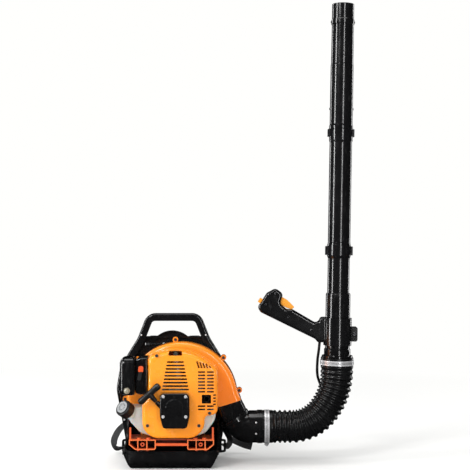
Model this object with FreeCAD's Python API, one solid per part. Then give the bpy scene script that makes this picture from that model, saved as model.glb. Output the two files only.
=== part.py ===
import FreeCAD, Part

import math
import os

# Backpack leaf blower, millimetres.
# X points to the air-tube side, Y towards the wearer's back, Z up.
# The origin is the middle of the flat underside of the base.

# Back frame and base
FRAME_HEIGHT = 430.0
FRAME_HALF_WIDTH = 171.0
RIM_WIDTH = 22.0
RIM_FRONT = 68.0
RIM_BACK = 98.0
PANEL_FRONT = 76.0
PANEL_BACK = 80.0
PANEL_TOP = 362.0
BASE_FRONT = -105.0
BASE_TOP = 52.0
BASE_FLAT_HALF = 114.0
BASE_HALF_WIDTH = 137.0
BASE_WALL = 5.0

# Crank axis, parallel to Y
CRANK_X = 15.0
CRANK_Z = 185.0

# Fan scroll
SCROLL_START_RADIUS = 116.0
SCROLL_END_RADIUS = 176.0
SCROLL_START_ANGLE = -10.0
SCROLL_SWEEP = 340.0
SCROLL_WALL = 3.0
FAN_FRONT = -32.0
FAN_SPLIT = 12.0
FAN_BACK = 54.0
INTAKE_RADIUS = 66.0
IMPELLER_RADIUS = 104.0
BLADE_COUNT = 18
OUTLET_WIDTH = 70.2
OUTLET_INNER_X = 133.0
OUTLET_INNER_Z = 165.0

# Engine
CRANK_THROW = 16.0
ROD_LENGTH = 66.0
BORE_RADIUS = 20.0
BIG_END_Y = -68.0
CASE_RADIUS = 43.0
CASE_FRONT = -102.0
CASE_BACK = -34.0
CYLINDER_BASE = 232.0
CYLINDER_TOP = 301.0
FIN_PITCH = 7.0
FIN_THICKNESS = 1.6
FLYWHEEL_RADIUS = 48.0
CARB_X = -55.0
CARB_Z = 262.0
CHOKE_X = -86.0
EXHAUST_Z = 252.0
COVER_FRONT = -134.0
COVER_BACK = -33.0
COVER_WALL = 2.5
MUFFLER_WALL = 1.5

# Starter
PULLEY_RADIUS = 28.5
PULLEY_Y = -150.0
HOUSING_FRONT = -166.0
ROPE_RADIUS = 1.75
PULL_X = -0.67
PULL_Z = 0.7424

# Air path
DUCT_Y = 15.0
SEAM_X = 184.5
SEAM_Z = 124.6
ELBOW_BEND_RADIUS = 47.0
HOSE_RADIUS = 47.7
HOSE_BORE = 42.0
CUFF_START_X = 262.5
HOSE_STRAIGHT_END = 347.0
HOSE_BENDS = ((120.0, 50.0), (180.0, 22.0), (190.0, 17.0))
HOSE_END_RUN = 30.0
WAND_TILT = 1.0
WAND_END = 1049.0

# Clearances
GAP = 0.3
RUNNING = 0.05


def point(x, y, z):
    return FreeCAD.Vector(x, y, z)


X_AXIS = point(1, 0, 0)
Y_AXIS = point(0, 1, 0)
Z_AXIS = point(0, 0, 1)
ORIGIN = point(0, 0, 0)


# ---------------------------------------------------------------- helpers

def box(x0, x1, y0, y1, z0, z1):
    return Part.makeBox(x1 - x0, y1 - y0, z1 - z0, point(x0, y0, z0))


def rod(start, end, radius):
    axis = end - start
    return Part.makeCylinder(radius, axis.Length, start, axis)


def ring(start, end, outer, inner):
    return rod(start, end, outer).cut(rod(start, end, inner))


def rod_y(x, z, y0, y1, radius):
    return rod(point(x, y0, z), point(x, y1, z), radius)


def ring_y(x, z, y0, y1, outer, inner):
    return ring(point(x, y0, z), point(x, y1, z), outer, inner)


def crank_rod(y0, y1, radius):
    return rod_y(CRANK_X, CRANK_Z, y0, y1, radius)


def crank_ring(y0, y1, outer, inner):
    return ring_y(CRANK_X, CRANK_Z, y0, y1, outer, inner)


def fuse(shapes):
    whole = shapes[0]
    if len(shapes) > 1:
        whole = whole.multiFuse(shapes[1:])
    return whole.removeSplitter()


def group(shapes):
    return Part.makeCompound(shapes)


PLANES = {
    "XZ": (lambda u, v, level: point(u, level, v), Y_AXIS),
    "XY": (lambda u, v, level: point(u, v, level), Z_AXIS),
    "YZ": (lambda u, v, level: point(level, u, v), X_AXIS),
}


def outline(corners, plane, level):
    """A closed wire of straight runs and tangent arcs; a corner is (u, v, radius)."""
    place = PLANES[plane][0]
    spots = [place(corner[0], corner[1], level) for corner in corners]
    arcs = []
    for index, corner in enumerate(corners):
        spot = spots[index]
        radius = corner[2]
        back = (spots[index - 1] - spot).normalize()
        ahead = (spots[(index + 1) % len(spots)] - spot).normalize()
        half = back.getAngle(ahead) / 2
        reach = radius / math.tan(half)
        middle = (back + ahead).normalize() * (radius / math.sin(half) - radius)
        arcs.append((spot + back * reach, spot + middle, spot + ahead * reach, radius))
    edges = []
    for index, arc in enumerate(arcs):
        following = arcs[(index + 1) % len(arcs)]
        if arc[3] > 0:
            edges.append(Part.Arc(arc[0], arc[1], arc[2]).toShape())
        if arc[2].distanceToPoint(following[0]) > 0.001:
            edges.append(Part.makeLine(arc[2], following[0]))
    return Part.Wire(edges)


def extrude(wire, direction, length):
    return Part.Face(wire).extrude(direction * length)


def prism(corners, plane, low, high, inset=0.0):
    wire = outline(corners, plane, low)
    if inset:
        wire = wire.makeOffset2D(-inset)
    return extrude(wire, PLANES[plane][1], high - low)


def round_edges(shape, radius, chosen):
    return shape.makeFillet(radius, [edge for edge in shape.Edges if chosen(edge.BoundBox)])


def at_x(level):
    return lambda bounds: abs(bounds.XMin - level) < 0.01 and abs(bounds.XMax - level) < 0.01


def at_y(level):
    return lambda bounds: abs(bounds.YMin - level) < 0.01 and abs(bounds.YMax - level) < 0.01


def at_z(level):
    return lambda bounds: abs(bounds.ZMin - level) < 0.01 and abs(bounds.ZMax - level) < 0.01


def mirrored(shape):
    return shape.mirror(ORIGIN, X_AXIS)


def superellipse(centre, across, along, half_across, half_along, power):
    """A smooth closed section; power 2 is an ellipse, 6 is nearly a rectangle."""
    spots = []
    count = 48
    for index in range(count):
        turn = 2 * math.pi * index / count
        u = math.cos(turn)
        v = math.sin(turn)
        size = (abs(u / half_across) ** power + abs(v / half_along) ** power) ** (-1 / power)
        spots.append(centre + across * (u * size) + along * (v * size))
    curve = Part.BSplineCurve()
    curve.interpolate(Points=spots, PeriodicFlag=True)
    return Part.Wire([curve.toShape()])


def circle_wire(centre, normal, radius):
    return Part.Wire([Part.makeCircle(radius, centre, normal)])


def loft(wires):
    return Part.makeLoft(wires, True, False)


def revolve(profile, centre=ORIGIN, axis=Z_AXIS):
    """A solid turned about Z from (radius, height) corners."""
    spots = [point(radius, 0, height) for radius, height in profile]
    face = Part.Face(Part.makePolygon(spots + [spots[0]]))
    solid = face.revolve(ORIGIN, Z_AXIS, 360)
    solid.Placement = FreeCAD.Placement(centre, FreeCAD.Rotation(Z_AXIS, axis))
    return solid


def ribbon(stations, width, thickness, across=X_AXIS):
    """A flat band lofted through stations; width lies along the given direction."""
    wires = []
    for index, station in enumerate(stations):
        before = stations[max(index - 1, 0)]
        after = stations[min(index + 1, len(stations) - 1)]
        run = (after - before).normalize()
        side = (across - run * across.dot(run)).normalize()
        face = run.cross(side)
        corners = []
        for u, v in ((-1, -1), (1, -1), (1, 1), (-1, 1)):
            corners.append(station + side * (u * width / 2) + face * (v * thickness / 2))
        wires.append(Part.makePolygon(corners + [corners[0]]))
    return Part.makeLoft(wires, True, True)


def bend_radius(before, corner, after):
    shorter = min(before.distanceToPoint(corner), corner.distanceToPoint(after))
    turn = (corner - before).getAngle(after - corner)
    return 0.45 * shorter / math.tan(turn / 2)


def cable(route, radius):
    """A round cable along straight runs joined by tangent arcs."""
    edges = []
    last = route[0]
    for before, corner, after in zip(route, route[1:], route[2:]):
        arc_radius = bend_radius(before, corner, after)
        back = (before - corner).normalize()
        ahead = (after - corner).normalize()
        half = back.getAngle(ahead) / 2
        reach = arc_radius / math.tan(half)
        middle = (back + ahead).normalize() * (arc_radius / math.sin(half) - arc_radius)
        edges.append(Part.makeLine(last, corner + back * reach))
        arc = Part.Arc(corner + back * reach, corner + middle, corner + ahead * reach)
        edges.append(arc.toShape())
        last = corner + ahead * reach
    edges.append(Part.makeLine(last, route[-1]))
    path = Part.Wire(edges)
    section = circle_wire(route[0], route[1] - route[0], radius)
    solid = path.makePipeShell([section], True, False)
    print("cable length", round(path.Length), "volume ratio",
          round(solid.Volume / (path.Length * math.pi * radius ** 2), 3))
    return solid


def screw(x, y, z, radius, length, direction=-1):
    """A pan-head screw along Y with a cross recess; its head points along direction."""
    head = rod_y(x, z, min(y, y + 3 * direction), max(y, y + 3 * direction), radius)
    tip = y - length * direction
    shank = rod_y(x, z, min(y, tip), max(y, tip), radius * 0.5)
    face = y + 3 * direction
    low = min(face, face - 1.4 * direction)
    high = max(face, face - 1.4 * direction)
    cross = box(x - radius * 0.6, x + radius * 0.6, low, high, z - 0.5, z + 0.5)
    other = box(x - 0.5, x + 0.5, low, high, z - radius * 0.6, z + radius * 0.6)
    return fuse([head, shank]).cut(cross).cut(other)


# ---------------------------------------------------------------- frame

def frame_corners():
    right = [
        (79, FRAME_HEIGHT, 36),
        (108, 356, 60),
        (160, 272, 60),
        (FRAME_HALF_WIDTH, 205, 80),
        (150, 90, 60),
        (136, 8, 20),
    ]
    left = [(-x, z, radius) for x, z, radius in reversed(right)]
    return right + left


def frame_rim():
    outer = prism(frame_corners(), "XZ", RIM_FRONT, RIM_BACK)
    outer = round_edges(outer, 7, at_y(RIM_FRONT))
    outer = round_edges(outer, 7, at_y(RIM_BACK))
    return outer.cut(prism(frame_corners(), "XZ", RIM_FRONT - 1, RIM_BACK + 1, RIM_WIDTH))


def frame_panel():
    sheet = prism(frame_corners(), "XZ", PANEL_FRONT, PANEL_BACK, RIM_WIDTH / 2)
    reach = FRAME_HALF_WIDTH
    sheet = sheet.common(box(-reach, reach, 0, 200, 20, PANEL_TOP))
    flange_front = PANEL_FRONT - 5
    edge = box(-88, 88, flange_front, PANEL_BACK, PANEL_TOP - 4, PANEL_TOP)
    arch_radius = 70
    arch = rod_y(-4, PANEL_TOP + 17 - arch_radius, flange_front, PANEL_BACK, arch_radius)
    arch = arch.cut(rod_y(-4, PANEL_TOP + 17 - arch_radius, flange_front - 1, PANEL_FRONT, arch_radius - 4))
    arch = arch.common(box(-60, 60, 0, 200, PANEL_TOP - 10, FRAME_HEIGHT))
    sheet = fuse([sheet, edge, arch])
    for side in (-1, 1):
        x = side * 55
        sheet = sheet.cut(box(x - 30, x + 30, 60, 100, 335, 342))
    for row in range(4):
        z = 130 + 45 * row
        for side in (-1, 1):
            x = side * 118
            sheet = sheet.cut(box(x - 10, x + 10, 60, 100, z, z + 26))
    return sheet.cut(rod_y(CRANK_X, CRANK_Z, 60, 100, 46))


def base_tray():
    half = BASE_HALF_WIDTH
    front_view = [(-BASE_FLAT_HALF, 0, 8), (BASE_FLAT_HALF, 0, 8), (half, 40, 12)]
    front_view += [(half, BASE_TOP, 0), (-half, BASE_TOP, 0), (-half, 40, 12)]
    side_view = [(BASE_FRONT + 23, 0, 8), (RIM_BACK, 0, 4), (RIM_BACK, BASE_TOP, 0)]
    side_view += [(BASE_FRONT, BASE_TOP, 0), (BASE_FRONT, 23, 10)]
    top_view = [(-half, RIM_BACK, 6), (-half, BASE_FRONT, 45)]
    top_view += [(half, BASE_FRONT, 45), (half, RIM_BACK, 6)]

    def tray(inset, rise):
        solid = prism(front_view, "XZ", BASE_FRONT - 5, RIM_BACK + 5, inset)
        solid = solid.common(prism(side_view, "YZ", -half - 5, half + 5, inset))
        solid = solid.common(prism(top_view, "XY", -5, BASE_TOP + 5, inset))
        solid.translate(point(0, 0, rise))
        return solid

    hollow = tray(BASE_WALL, 0)
    raised = tray(BASE_WALL, BASE_WALL + 2)
    return tray(0, 0).cut(hollow).cut(raised)


def base_bosses():
    pieces = []
    for x in (-75, 86):
        pieces.append(rod(point(x, -70, 4), point(x, -70, 30), 14))
    for x in (-60, 0, 60):
        pieces.append(box(x - 1.5, x + 1.5, -95, 90, 4, 22))
    return pieces


def side_gusset():
    corners = [(RIM_BACK - 4, 40, 0), (-90, 40, 0), (-90, 50, 6), (24, 60, 90)]
    corners += [(RIM_FRONT, 150, 30), (RIM_BACK - 4, 160, 0)]
    return prism(corners, "YZ", 131, BASE_HALF_WIDTH)


def strap_ear():
    ear = prism([(130, 10, 2), (156, 14, 6), (156, 50, 6), (130, 54, 2)], "XZ", 88, 98)
    return ear.cut(box(143, 149, 80, 110, 18, 46))


def backpack_frame():
    gusset = side_gusset()
    ear = strap_ear()
    pieces = [frame_rim(), frame_panel(), base_tray()] + base_bosses()
    pieces += [gusset, mirrored(gusset), ear, mirrored(ear)]
    whole = fuse(pieces)
    whole = whole.cut(box(143, 149, 60, 120, 18, 46))
    whole = whole.cut(box(-149, -143, 60, 120, 18, 46))
    cable_notch = rod(point(128, 61, 112), point(142, 61, 119), 6)
    return whole.cut(cable_notch)


# ---------------------------------------------------------------- harness

def back_pad():
    pad = prism([(-95, 80, 24), (95, 80, 24), (105, 200, 60), (88, 330, 24),
                 (-88, 330, 24), (-105, 200, 60)], "XZ", PANEL_BACK + 0.6, 110)
    return round_edges(pad, 9, at_y(110))


def shoulder_strap():
    stations = [point(55, 92, 338), point(60, 140, 352), point(68, 196, 318), point(80, 217, 250),
                point(92, 205, 185), point(106, 176, 130), point(122, 150, 98)]
    wires = []
    widths = (40, 54, 60, 60, 58, 48, 34)
    for index, station in enumerate(stations):
        before = stations[max(index - 1, 0)]
        after = stations[min(index + 1, len(stations) - 1)]
        run = (after - before).normalize()
        side = (X_AXIS - run * X_AXIS.dot(run)).normalize()
        wires.append(superellipse(station, side, run.cross(side), widths[index] / 2, 6.5, 3.5))
    return loft(wires)


def strap_anchor():
    """Webbing and sewn tab that ties a shoulder strap to the slot in the panel."""
    loop = box(42, 68, 66, 94, 336, 341)
    bar = rod(point(38, 68, 338.5), point(72, 68, 338.5), 3)
    return fuse([loop, bar])


def left_webbing():
    stations = [point(-146, 93, 32), point(-163, 104, 24), point(-178, 116, 24),
                point(-183, 122, 42), point(-172, 126, 68), point(-152, 130, 90),
                point(-134, 142, 100)]
    return ribbon(stations, 24, 2.2, Y_AXIS)


def right_webbing():
    stations = [point(146, 93, 32), point(158, 108, 28), point(168, 122, 40),
                point(160, 130, 66), point(147, 134, 88), point(134, 142, 100)]
    return ribbon(stations, 24, 2.2, Y_AXIS)


def webbing_tail():
    stations = [point(140, 141, 88), point(150, 142, 66), point(166, 141, 46), point(190, 138, 36),
                point(213, 135, 28), point(234, 132, 23)]
    return ribbon(stations, 24, 2.2, point(0, 0.35, 0.94))


def buckle(side):
    frame = prism([(-17, -14, 4), (17, -14, 4), (17, 14, 4), (-17, 14, 4)], "XZ", -3, 3)
    frame = frame.cut(box(-12, 12, -5, 5, -10, -6))
    frame = frame.cut(box(-12, 12, -5, 5, 5, 9))
    turn = FreeCAD.Rotation(Z_AXIS, 25 * side).multiply(FreeCAD.Rotation(Y_AXIS, 40 * side))
    frame.Placement = FreeCAD.Placement(point(side * 127, 152, 104), turn)
    return frame


def strap_hardware():
    return group([strap_anchor(), mirrored(strap_anchor()), buckle(1), buckle(-1)])


def vibration_mounts():
    pieces = []
    for x in (-75, 86):
        pieces.append(rod(point(x, -70, 30 + GAP), point(x, -70, 59 - GAP), 12))
    for x, z in ((-75, 300), (90, 310)):
        pieces.append(rod_y(x, z, FAN_BACK + GAP, PANEL_FRONT - GAP, 11))
    return group(pieces)


# ---------------------------------------------------------------- engine stand

def stand_foot(x0, x1, outer_side):
    """A foot with three open cells; its outer lower corner is cut away."""
    chamfer = 18
    left_cut = chamfer if outer_side < 0 else 4
    right_cut = chamfer if outer_side > 0 else 4
    corners = [(x0, 88, 2), (x1, 88, 2), (x1, 59 + right_cut * 0.8, 3), (x1 - right_cut, 59, 3),
               (x0 + left_cut, 59, 3), (x0, 59 + left_cut * 0.8, 3)]
    foot = prism(corners, "XZ", -118, -50)
    cells = prism(corners, "XZ", -120, -58, 3)
    width = x1 - x0
    for index in (1, 2):
        x = x0 + index * width / 3
        cells = cells.cut(box(x - 1.5, x + 1.5, -130, -50, 50, 100))
    foot = foot.cut(cells)
    boss = ring_y((x0 + x1) / 2, 73, -112, -56, 6, 2.4)
    pegs = [ring(point(x, -106, 55), point(x, -106, 61), 4.5, 2)
            for x in (x0 + width * 0.34, x0 + width * 0.68)]
    return fuse([foot, boss] + pegs)


def engine_stand():
    pieces = [stand_foot(-116, -40, -1), stand_foot(48.5, 124, 1)]
    pieces.append(box(-116, 124, -104, -34, 84, 87.6))
    pieces.append(box(-60, 90, -38, -34, 60, 121))
    pieces.append(box(-41, 49.5, -116, -108, 70, 77))
    for x in (-88, -61, 71, 96):
        pieces.append(rod(point(x, -110.5, 86), point(x, -110.5, 92), 6))
    for x in (-115, 118):
        pieces.append(prism([(-117, 84, 0), (-106, 84, 0), (-106, 121, 2.5), (-112, 121, 2.5)],
                            "YZ", x, x + 5))
    return fuse(pieces)


# ---------------------------------------------------------------- fan

def scroll_radius(fraction):
    growth = SCROLL_END_RADIUS - SCROLL_START_RADIUS
    return SCROLL_START_RADIUS + growth * fraction * fraction * (3 - 2 * fraction)


def scroll_spot(degrees, radius):
    angle = math.radians(degrees)
    return CRANK_X + radius * math.cos(angle), CRANK_Z + radius * math.sin(angle)


OUTLET_DIRECTION = point(0.30, 0, -0.954)
OUTLET_ACROSS = point(0.954, 0, 0.30)


def scroll_wire(level, inset, extension, lift):
    """The fan casing's spiral with its outlet; lift thickens the tongue beside the outlet."""
    spots = []
    steps = 24
    for index in range(steps + 1):
        fraction = index / steps
        degrees = SCROLL_START_ANGLE + lift / 2 - (SCROLL_SWEEP + lift / 2) * fraction
        x, z = scroll_spot(degrees, scroll_radius(fraction) - inset)
        spots.append(point(x, level, z))
    curve = Part.BSplineCurve()
    curve.interpolate(spots)
    inner = point(OUTLET_INNER_X, level, OUTLET_INNER_Z)
    outer = inner + OUTLET_ACROSS * OUTLET_WIDTH
    inner = inner + OUTLET_ACROSS * inset
    outer = outer - OUTLET_ACROSS * inset
    corners = [spots[-1], outer + OUTLET_DIRECTION * extension]
    corners.append(inner + OUTLET_DIRECTION * extension)
    if lift:
        corners.append(inner - OUTLET_DIRECTION * lift)
    corners.append(spots[0])
    edges = [curve.toShape()]
    for first, second in zip(corners, corners[1:]):
        edges.append(Part.makeLine(first, second))
    return Part.Wire(edges)


def rounded_scroll(face, back, radius, inset, extension, lift):
    """The spiral as a solid whose edge at face is rounded."""
    direction = math.copysign(1, back - face)
    wires = []
    for step in range(7):
        angle = math.pi / 2 * step / 6
        shrink = radius * (1 - math.sin(angle))
        level = face + direction * radius * (1 - math.cos(angle))
        wires.append(scroll_wire(level, inset + shrink, extension, lift))
    slab_start = face + direction * radius
    slab = extrude(scroll_wire(slab_start, inset, extension, lift), Y_AXIS, back - slab_start)
    return fuse([loft(wires), slab])


LUG_ANGLES = (92, 42, 8, 135, 180, 225, 280)


def case_lug(degrees, y0, y1):
    fraction = ((-degrees - 10) % 360) / SCROLL_SWEEP
    radius = scroll_radius(min(fraction, 1.0))
    x, z = scroll_spot(degrees, radius + 6.3)
    inner_x, inner_z = scroll_spot(degrees, radius - 12)
    arm = prism([(-8, 0, 0), (8, 0, 0), (8, 16, 7.9), (-8, 16, 7.9)], "XZ", y0, y1)
    arm.rotate(ORIGIN, Y_AXIS, -(degrees - 90))
    arm.translate(point(inner_x, 0, inner_z))
    pad = rod_y(x, z, y0, y1, 8)
    return fuse([arm, pad]), (x, z)


def fan_case(face, split, radius):
    """One half of the fan casing: its rounded face, its wall and the lugs at the split."""
    direction = math.copysign(1, split - face)
    outer = rounded_scroll(face, split, radius, 0, 0, 0)
    inner = rounded_scroll(face + direction * SCROLL_WALL, split + direction, radius - SCROLL_WALL,
                           SCROLL_WALL, 12, 4)
    low = min(split, split - 9 * direction)
    high = max(split, split - 9 * direction)
    lugs = [case_lug(angle, low, high)[0] for angle in LUG_ANGLES]
    case = fuse([outer] + lugs).cut(inner)
    for angle in LUG_ANGLES:
        x, z = case_lug(angle, 0, 1)[1]
        case = case.cut(rod_y(x, z, low - 1, high + 1, 2.6))
    return case


def fan_case_front():
    return fan_case(FAN_FRONT, FAN_SPLIT, 14).cut(crank_rod(FAN_FRONT - 1, 0, 19))


def fan_case_rear():
    return fan_case(FAN_BACK, FAN_SPLIT + GAP, 12).cut(crank_rod(40, 60, INTAKE_RADIUS))


def fan_case_screws():
    pieces = []
    for angle in LUG_ANGLES:
        x, z = case_lug(angle, 0, 1)[1]
        pieces.append(screw(x, FAN_SPLIT - 9 - 0.1, z, 4.2, 17))
    return group(pieces)


def intake_grille():
    low = FAN_BACK + 0.5
    high = low + 3
    rings = [crank_ring(low, high, radius + 1.5, radius - 1.5) for radius in (22, 34, 46, 58)]
    rings.append(crank_ring(low, high, 72, 66))
    rings.append(crank_rod(low, high, 11))
    for index in range(4):
        bar = box(-71, 71, low, high, -1.5, 1.5)
        bar.rotate(ORIGIN, Y_AXIS, 45 * index)
        bar.translate(point(CRANK_X, 0, CRANK_Z))
        rings.append(bar)
    return fuse(rings)


def impeller():
    blades = []
    for index in range(BLADE_COUNT):
        blade = prism([(44, -3, 0), (72, -14, 40), (102, -34, 0), (103, -31, 0), (73, -11, 40), (44, 0, 0)],
                      "XZ", -16, 30)
        blade.rotate(ORIGIN, Y_AXIS, index * 360 / BLADE_COUNT)
        blade.translate(point(CRANK_X, 0, CRANK_Z))
        blades.append(blade)
    disc = crank_rod(-18, -15, IMPELLER_RADIUS)
    hub = crank_rod(-26, 26, 22)
    shroud = crank_ring(30 - 0.5, 32.5, IMPELLER_RADIUS, 62)
    whole = fuse([disc, hub, shroud] + blades)
    return whole.cut(crank_rod(-30, 40, 7.4))


def impeller_nut():
    nut = Part.Face(Part.makePolygon([point(CRANK_X + 9 * math.cos(math.radians(60 * k)), 26.2,
                                            CRANK_Z + 9 * math.sin(math.radians(60 * k)))
                                      for k in range(7)])).extrude(Y_AXIS * 7)
    return nut.cut(crank_rod(20, 40, 6.2))


# ---------------------------------------------------------------- engine

def crankcase(y0, y1, cavity0, cavity1, bearing_y0, bearing_y1):
    body = crank_rod(y0, y1, CASE_RADIUS)
    neck = box(CRANK_X - 41, CRANK_X + 41, y0, y1, CRANK_Z, CYLINDER_BASE - GAP)
    neck = neck.common(box(-26, 56, y0, y1, 150, CYLINDER_BASE - GAP))
    case = fuse([body, neck])
    case = case.cut(crank_rod(cavity0, cavity1, 38))
    case = case.cut(rod(point(CRANK_X, BIG_END_Y, CRANK_Z), point(CRANK_X, BIG_END_Y, 240), 22))
    case = case.cut(crank_rod(bearing_y0, bearing_y1, 17.6))
    return case.cut(crank_rod(y0 - 1, y1 + 1, 10))


def crankcase_front():
    return crankcase(CASE_FRONT, BIG_END_Y - 0.15, -90, BIG_END_Y + 1, -101, -90)


def crankcase_rear():
    return crankcase(BIG_END_Y + 0.15, CASE_BACK, BIG_END_Y - 1, -46, -46, -35)


def crankshaft():
    front = fuse([crank_rod(-142, -88, 7.45), crank_rod(-88, -76, 29)])
    rear = fuse([crank_rod(-60, -48, 29), crank_rod(-48, 26, 7.3), crank_rod(26, 36, 6.1)])
    return [front, rear]


def main_bearings():
    pieces = []
    for y0, y1 in ((-100.8, -90.2), (-45.8, -35.2)):
        pieces.append(crank_ring(y0, y1, 17.5, 14.6))
    return group(pieces)


def bearing_inner_rings():
    return [crank_ring(y0, y1, 10.4, 7.5) for y0, y1 in ((-100.8, -90.2), (-45.8, -35.2))]


def crankshaft_node():
    front, rear = crankshaft()
    return group([front, rear] + bearing_inner_rings())


def cylinder():
    middle_x = CRANK_X
    middle_y = BIG_END_Y
    top = CYLINDER_TOP
    body = rod(point(middle_x, middle_y, CYLINDER_BASE), point(middle_x, middle_y, 286), 26)
    flange = box(-26, 56, -98, -38, CYLINDER_BASE, CYLINDER_BASE + 5)
    spigot = rod(point(middle_x, middle_y, 226), point(middle_x, middle_y, 233), 21.6)
    neck = rod(point(middle_x, middle_y, 286), point(middle_x, middle_y, top), 12)
    fins = []
    height = CYLINDER_BASE + 6
    while height < top:
        fins.append(box(-29, 59, CASE_FRONT, CASE_BACK, height, height + FIN_THICKNESS))
        height += FIN_PITCH
    intake = box(-38, -8, -84, -52, CARB_Z - 12, CARB_Z + 12)
    exhaust = box(38, 66, -84, -52, EXHAUST_Z - 12, EXHAUST_Z + 12)
    whole = fuse([body, flange, spigot, neck, intake, exhaust] + fins)
    whole = whole.cut(rod(point(middle_x, middle_y, 220), point(middle_x, middle_y, 283), BORE_RADIUS))
    whole = whole.cut(rod(point(middle_x, middle_y, 280), point(middle_x, middle_y, 310), 7))
    whole = whole.cut(rod(point(-40, middle_y, CARB_Z), point(0, middle_y, CARB_Z), 8))
    return whole.cut(rod(point(30, middle_y, EXHAUST_Z), point(70, middle_y, EXHAUST_Z), 9))


WRIST_Z = CRANK_Z + CRANK_THROW + ROD_LENGTH


def piston():
    radius = BORE_RADIUS - 0.08
    crown = WRIST_Z + 14
    body = rod(point(CRANK_X, BIG_END_Y, crown - 32), point(CRANK_X, BIG_END_Y, crown), radius)
    hollow = rod(point(CRANK_X, BIG_END_Y, crown - 33), point(CRANK_X, BIG_END_Y, crown - 5), 16.5)
    bosses = rod_y(CRANK_X, WRIST_Z, BIG_END_Y - 18, BIG_END_Y - 7, 8)
    bosses = bosses.fuse(rod_y(CRANK_X, WRIST_Z, BIG_END_Y + 7, BIG_END_Y + 18, 8))
    whole = fuse([body.cut(hollow), bosses.common(body)])
    for height in (crown - 4, crown - 8):
        groove = ring(point(CRANK_X, BIG_END_Y, height), point(CRANK_X, BIG_END_Y, height + 1.5), 22, 18)
        whole = whole.cut(groove)
    return whole.cut(rod_y(CRANK_X, WRIST_Z, -100, -30, 5.02))


def piston_rings():
    crown = WRIST_Z + 14
    pieces = []
    for height in (crown - 4, crown - 8):
        start = point(CRANK_X, BIG_END_Y, height + 0.1)
        end = point(CRANK_X, BIG_END_Y, height + 1.4)
        pieces.append(ring(start, end, BORE_RADIUS - 0.03, 18.2))
    return group(pieces)


def gudgeon_pin():
    return ring_y(CRANK_X, WRIST_Z, BIG_END_Y - 15, BIG_END_Y + 15, 5, 3)


def connecting_rod():
    big_z = CRANK_Z + CRANK_THROW
    y0 = BIG_END_Y - 6
    y1 = BIG_END_Y + 6
    beam = prism([(CRANK_X - 7, big_z, 0), (CRANK_X + 7, big_z, 0),
                  (CRANK_X + 5, WRIST_Z, 0), (CRANK_X - 5, WRIST_Z, 0)], "XZ", y0, y1)
    waist = prism([(CRANK_X - 4, big_z + 16, 2), (CRANK_X + 4, big_z + 16, 2),
                   (CRANK_X + 3, WRIST_Z - 12, 2), (CRANK_X - 3, WRIST_Z - 12, 2)], "XZ", y0, y0 + 4)
    other = waist.copy()
    other.translate(point(0, 8, 0))
    whole = fuse([rod_y(CRANK_X, big_z, y0, y1, 12), rod_y(CRANK_X, WRIST_Z, y0, y1, 8), beam])
    whole = whole.cut(waist).cut(other)
    whole = whole.cut(rod_y(CRANK_X, WRIST_Z, y0 - 1, y1 + 1, 5 + RUNNING))
    return whole.cut(rod_y(CRANK_X, big_z, y0 - 1, y1 + 1, 6.7))


def crank_pin():
    return rod_y(CRANK_X, CRANK_Z + CRANK_THROW, BIG_END_Y - 6.5, BIG_END_Y + 6.5, 6.5)


def flywheel():
    rim = crank_rod(-118, -108, FLYWHEEL_RADIUS)
    pieces = [rim, crank_rod(-126, -108, 14)]
    for index in range(16):
        fin = box(17, FLYWHEEL_RADIUS - 1, -125, -117, -1.2, 1.2)
        fin.rotate(ORIGIN, Y_AXIS, 22.5 * index)
        fin.translate(point(CRANK_X, 0, CRANK_Z))
        pieces.append(fin)
    whole = fuse(pieces)
    return whole.cut(crank_rod(-130, -100, 7.5))


def starter_cup():
    cup = crank_ring(-143, -127, 30, 26)
    floor = crank_ring(-129, -126.3, 30, 7.5)
    notches = []
    for index in range(3):
        notch = box(20, 32, -144, -137, -4, 4)
        notch.rotate(ORIGIN, Y_AXIS, 120 * index + 30)
        notch.translate(point(CRANK_X, 0, CRANK_Z))
        notches.append(notch)
    return fuse([cup, floor]).cut(group(notches))


def ignition_coil():
    top = 262
    base = CRANK_Z + FLYWHEEL_RADIUS + 0.6
    core = box(-6, 36, -117, -109, base, base + 9)
    for side in (-1, 1):
        x = CRANK_X + side * 16
        core = core.fuse(box(x - 5, x + 5, -117, -109, base - 4, base + 9))
    core = core.cut(crank_rod(-130, -100, FLYWHEEL_RADIUS + 0.6))
    block = box(0, 30, -124, -105, base + 9, top)
    return fuse([core, block])


def spark_plug():
    axis_x = CRANK_X
    y = BIG_END_Y
    levels = ((281.8, 289.9, 2.6), (284, 301.3, 6.95), (301.3, 307, 9), (307, 322, 6), (322, 327, 3))
    return fuse([rod(point(axis_x, y, low), point(axis_x, y, high), radius)
                 for low, high, radius in levels])


def spark_plug_boot():
    body = rod(point(CRANK_X, BIG_END_Y, 309), point(CRANK_X, BIG_END_Y, 335), 9.5)
    arm = rod(point(CRANK_X, BIG_END_Y, 328), point(CRANK_X, -112, 328), 6)
    whole = fuse([body, arm])
    hollow = rod(point(CRANK_X, BIG_END_Y, 308), point(CRANK_X, BIG_END_Y, 327.5), 6.3)
    return round_edges(whole, 2, at_z(335)).cut(hollow)


# ---------------------------------------------------------------- carburettor



def intake_manifold():
    block = box(-41.7, -38.3, -86, -50, CARB_Z - 16, CARB_Z + 16)
    return block.cut(rod(point(-45, BIG_END_Y, CARB_Z), point(-30, BIG_END_Y, CARB_Z), 8.5))


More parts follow.
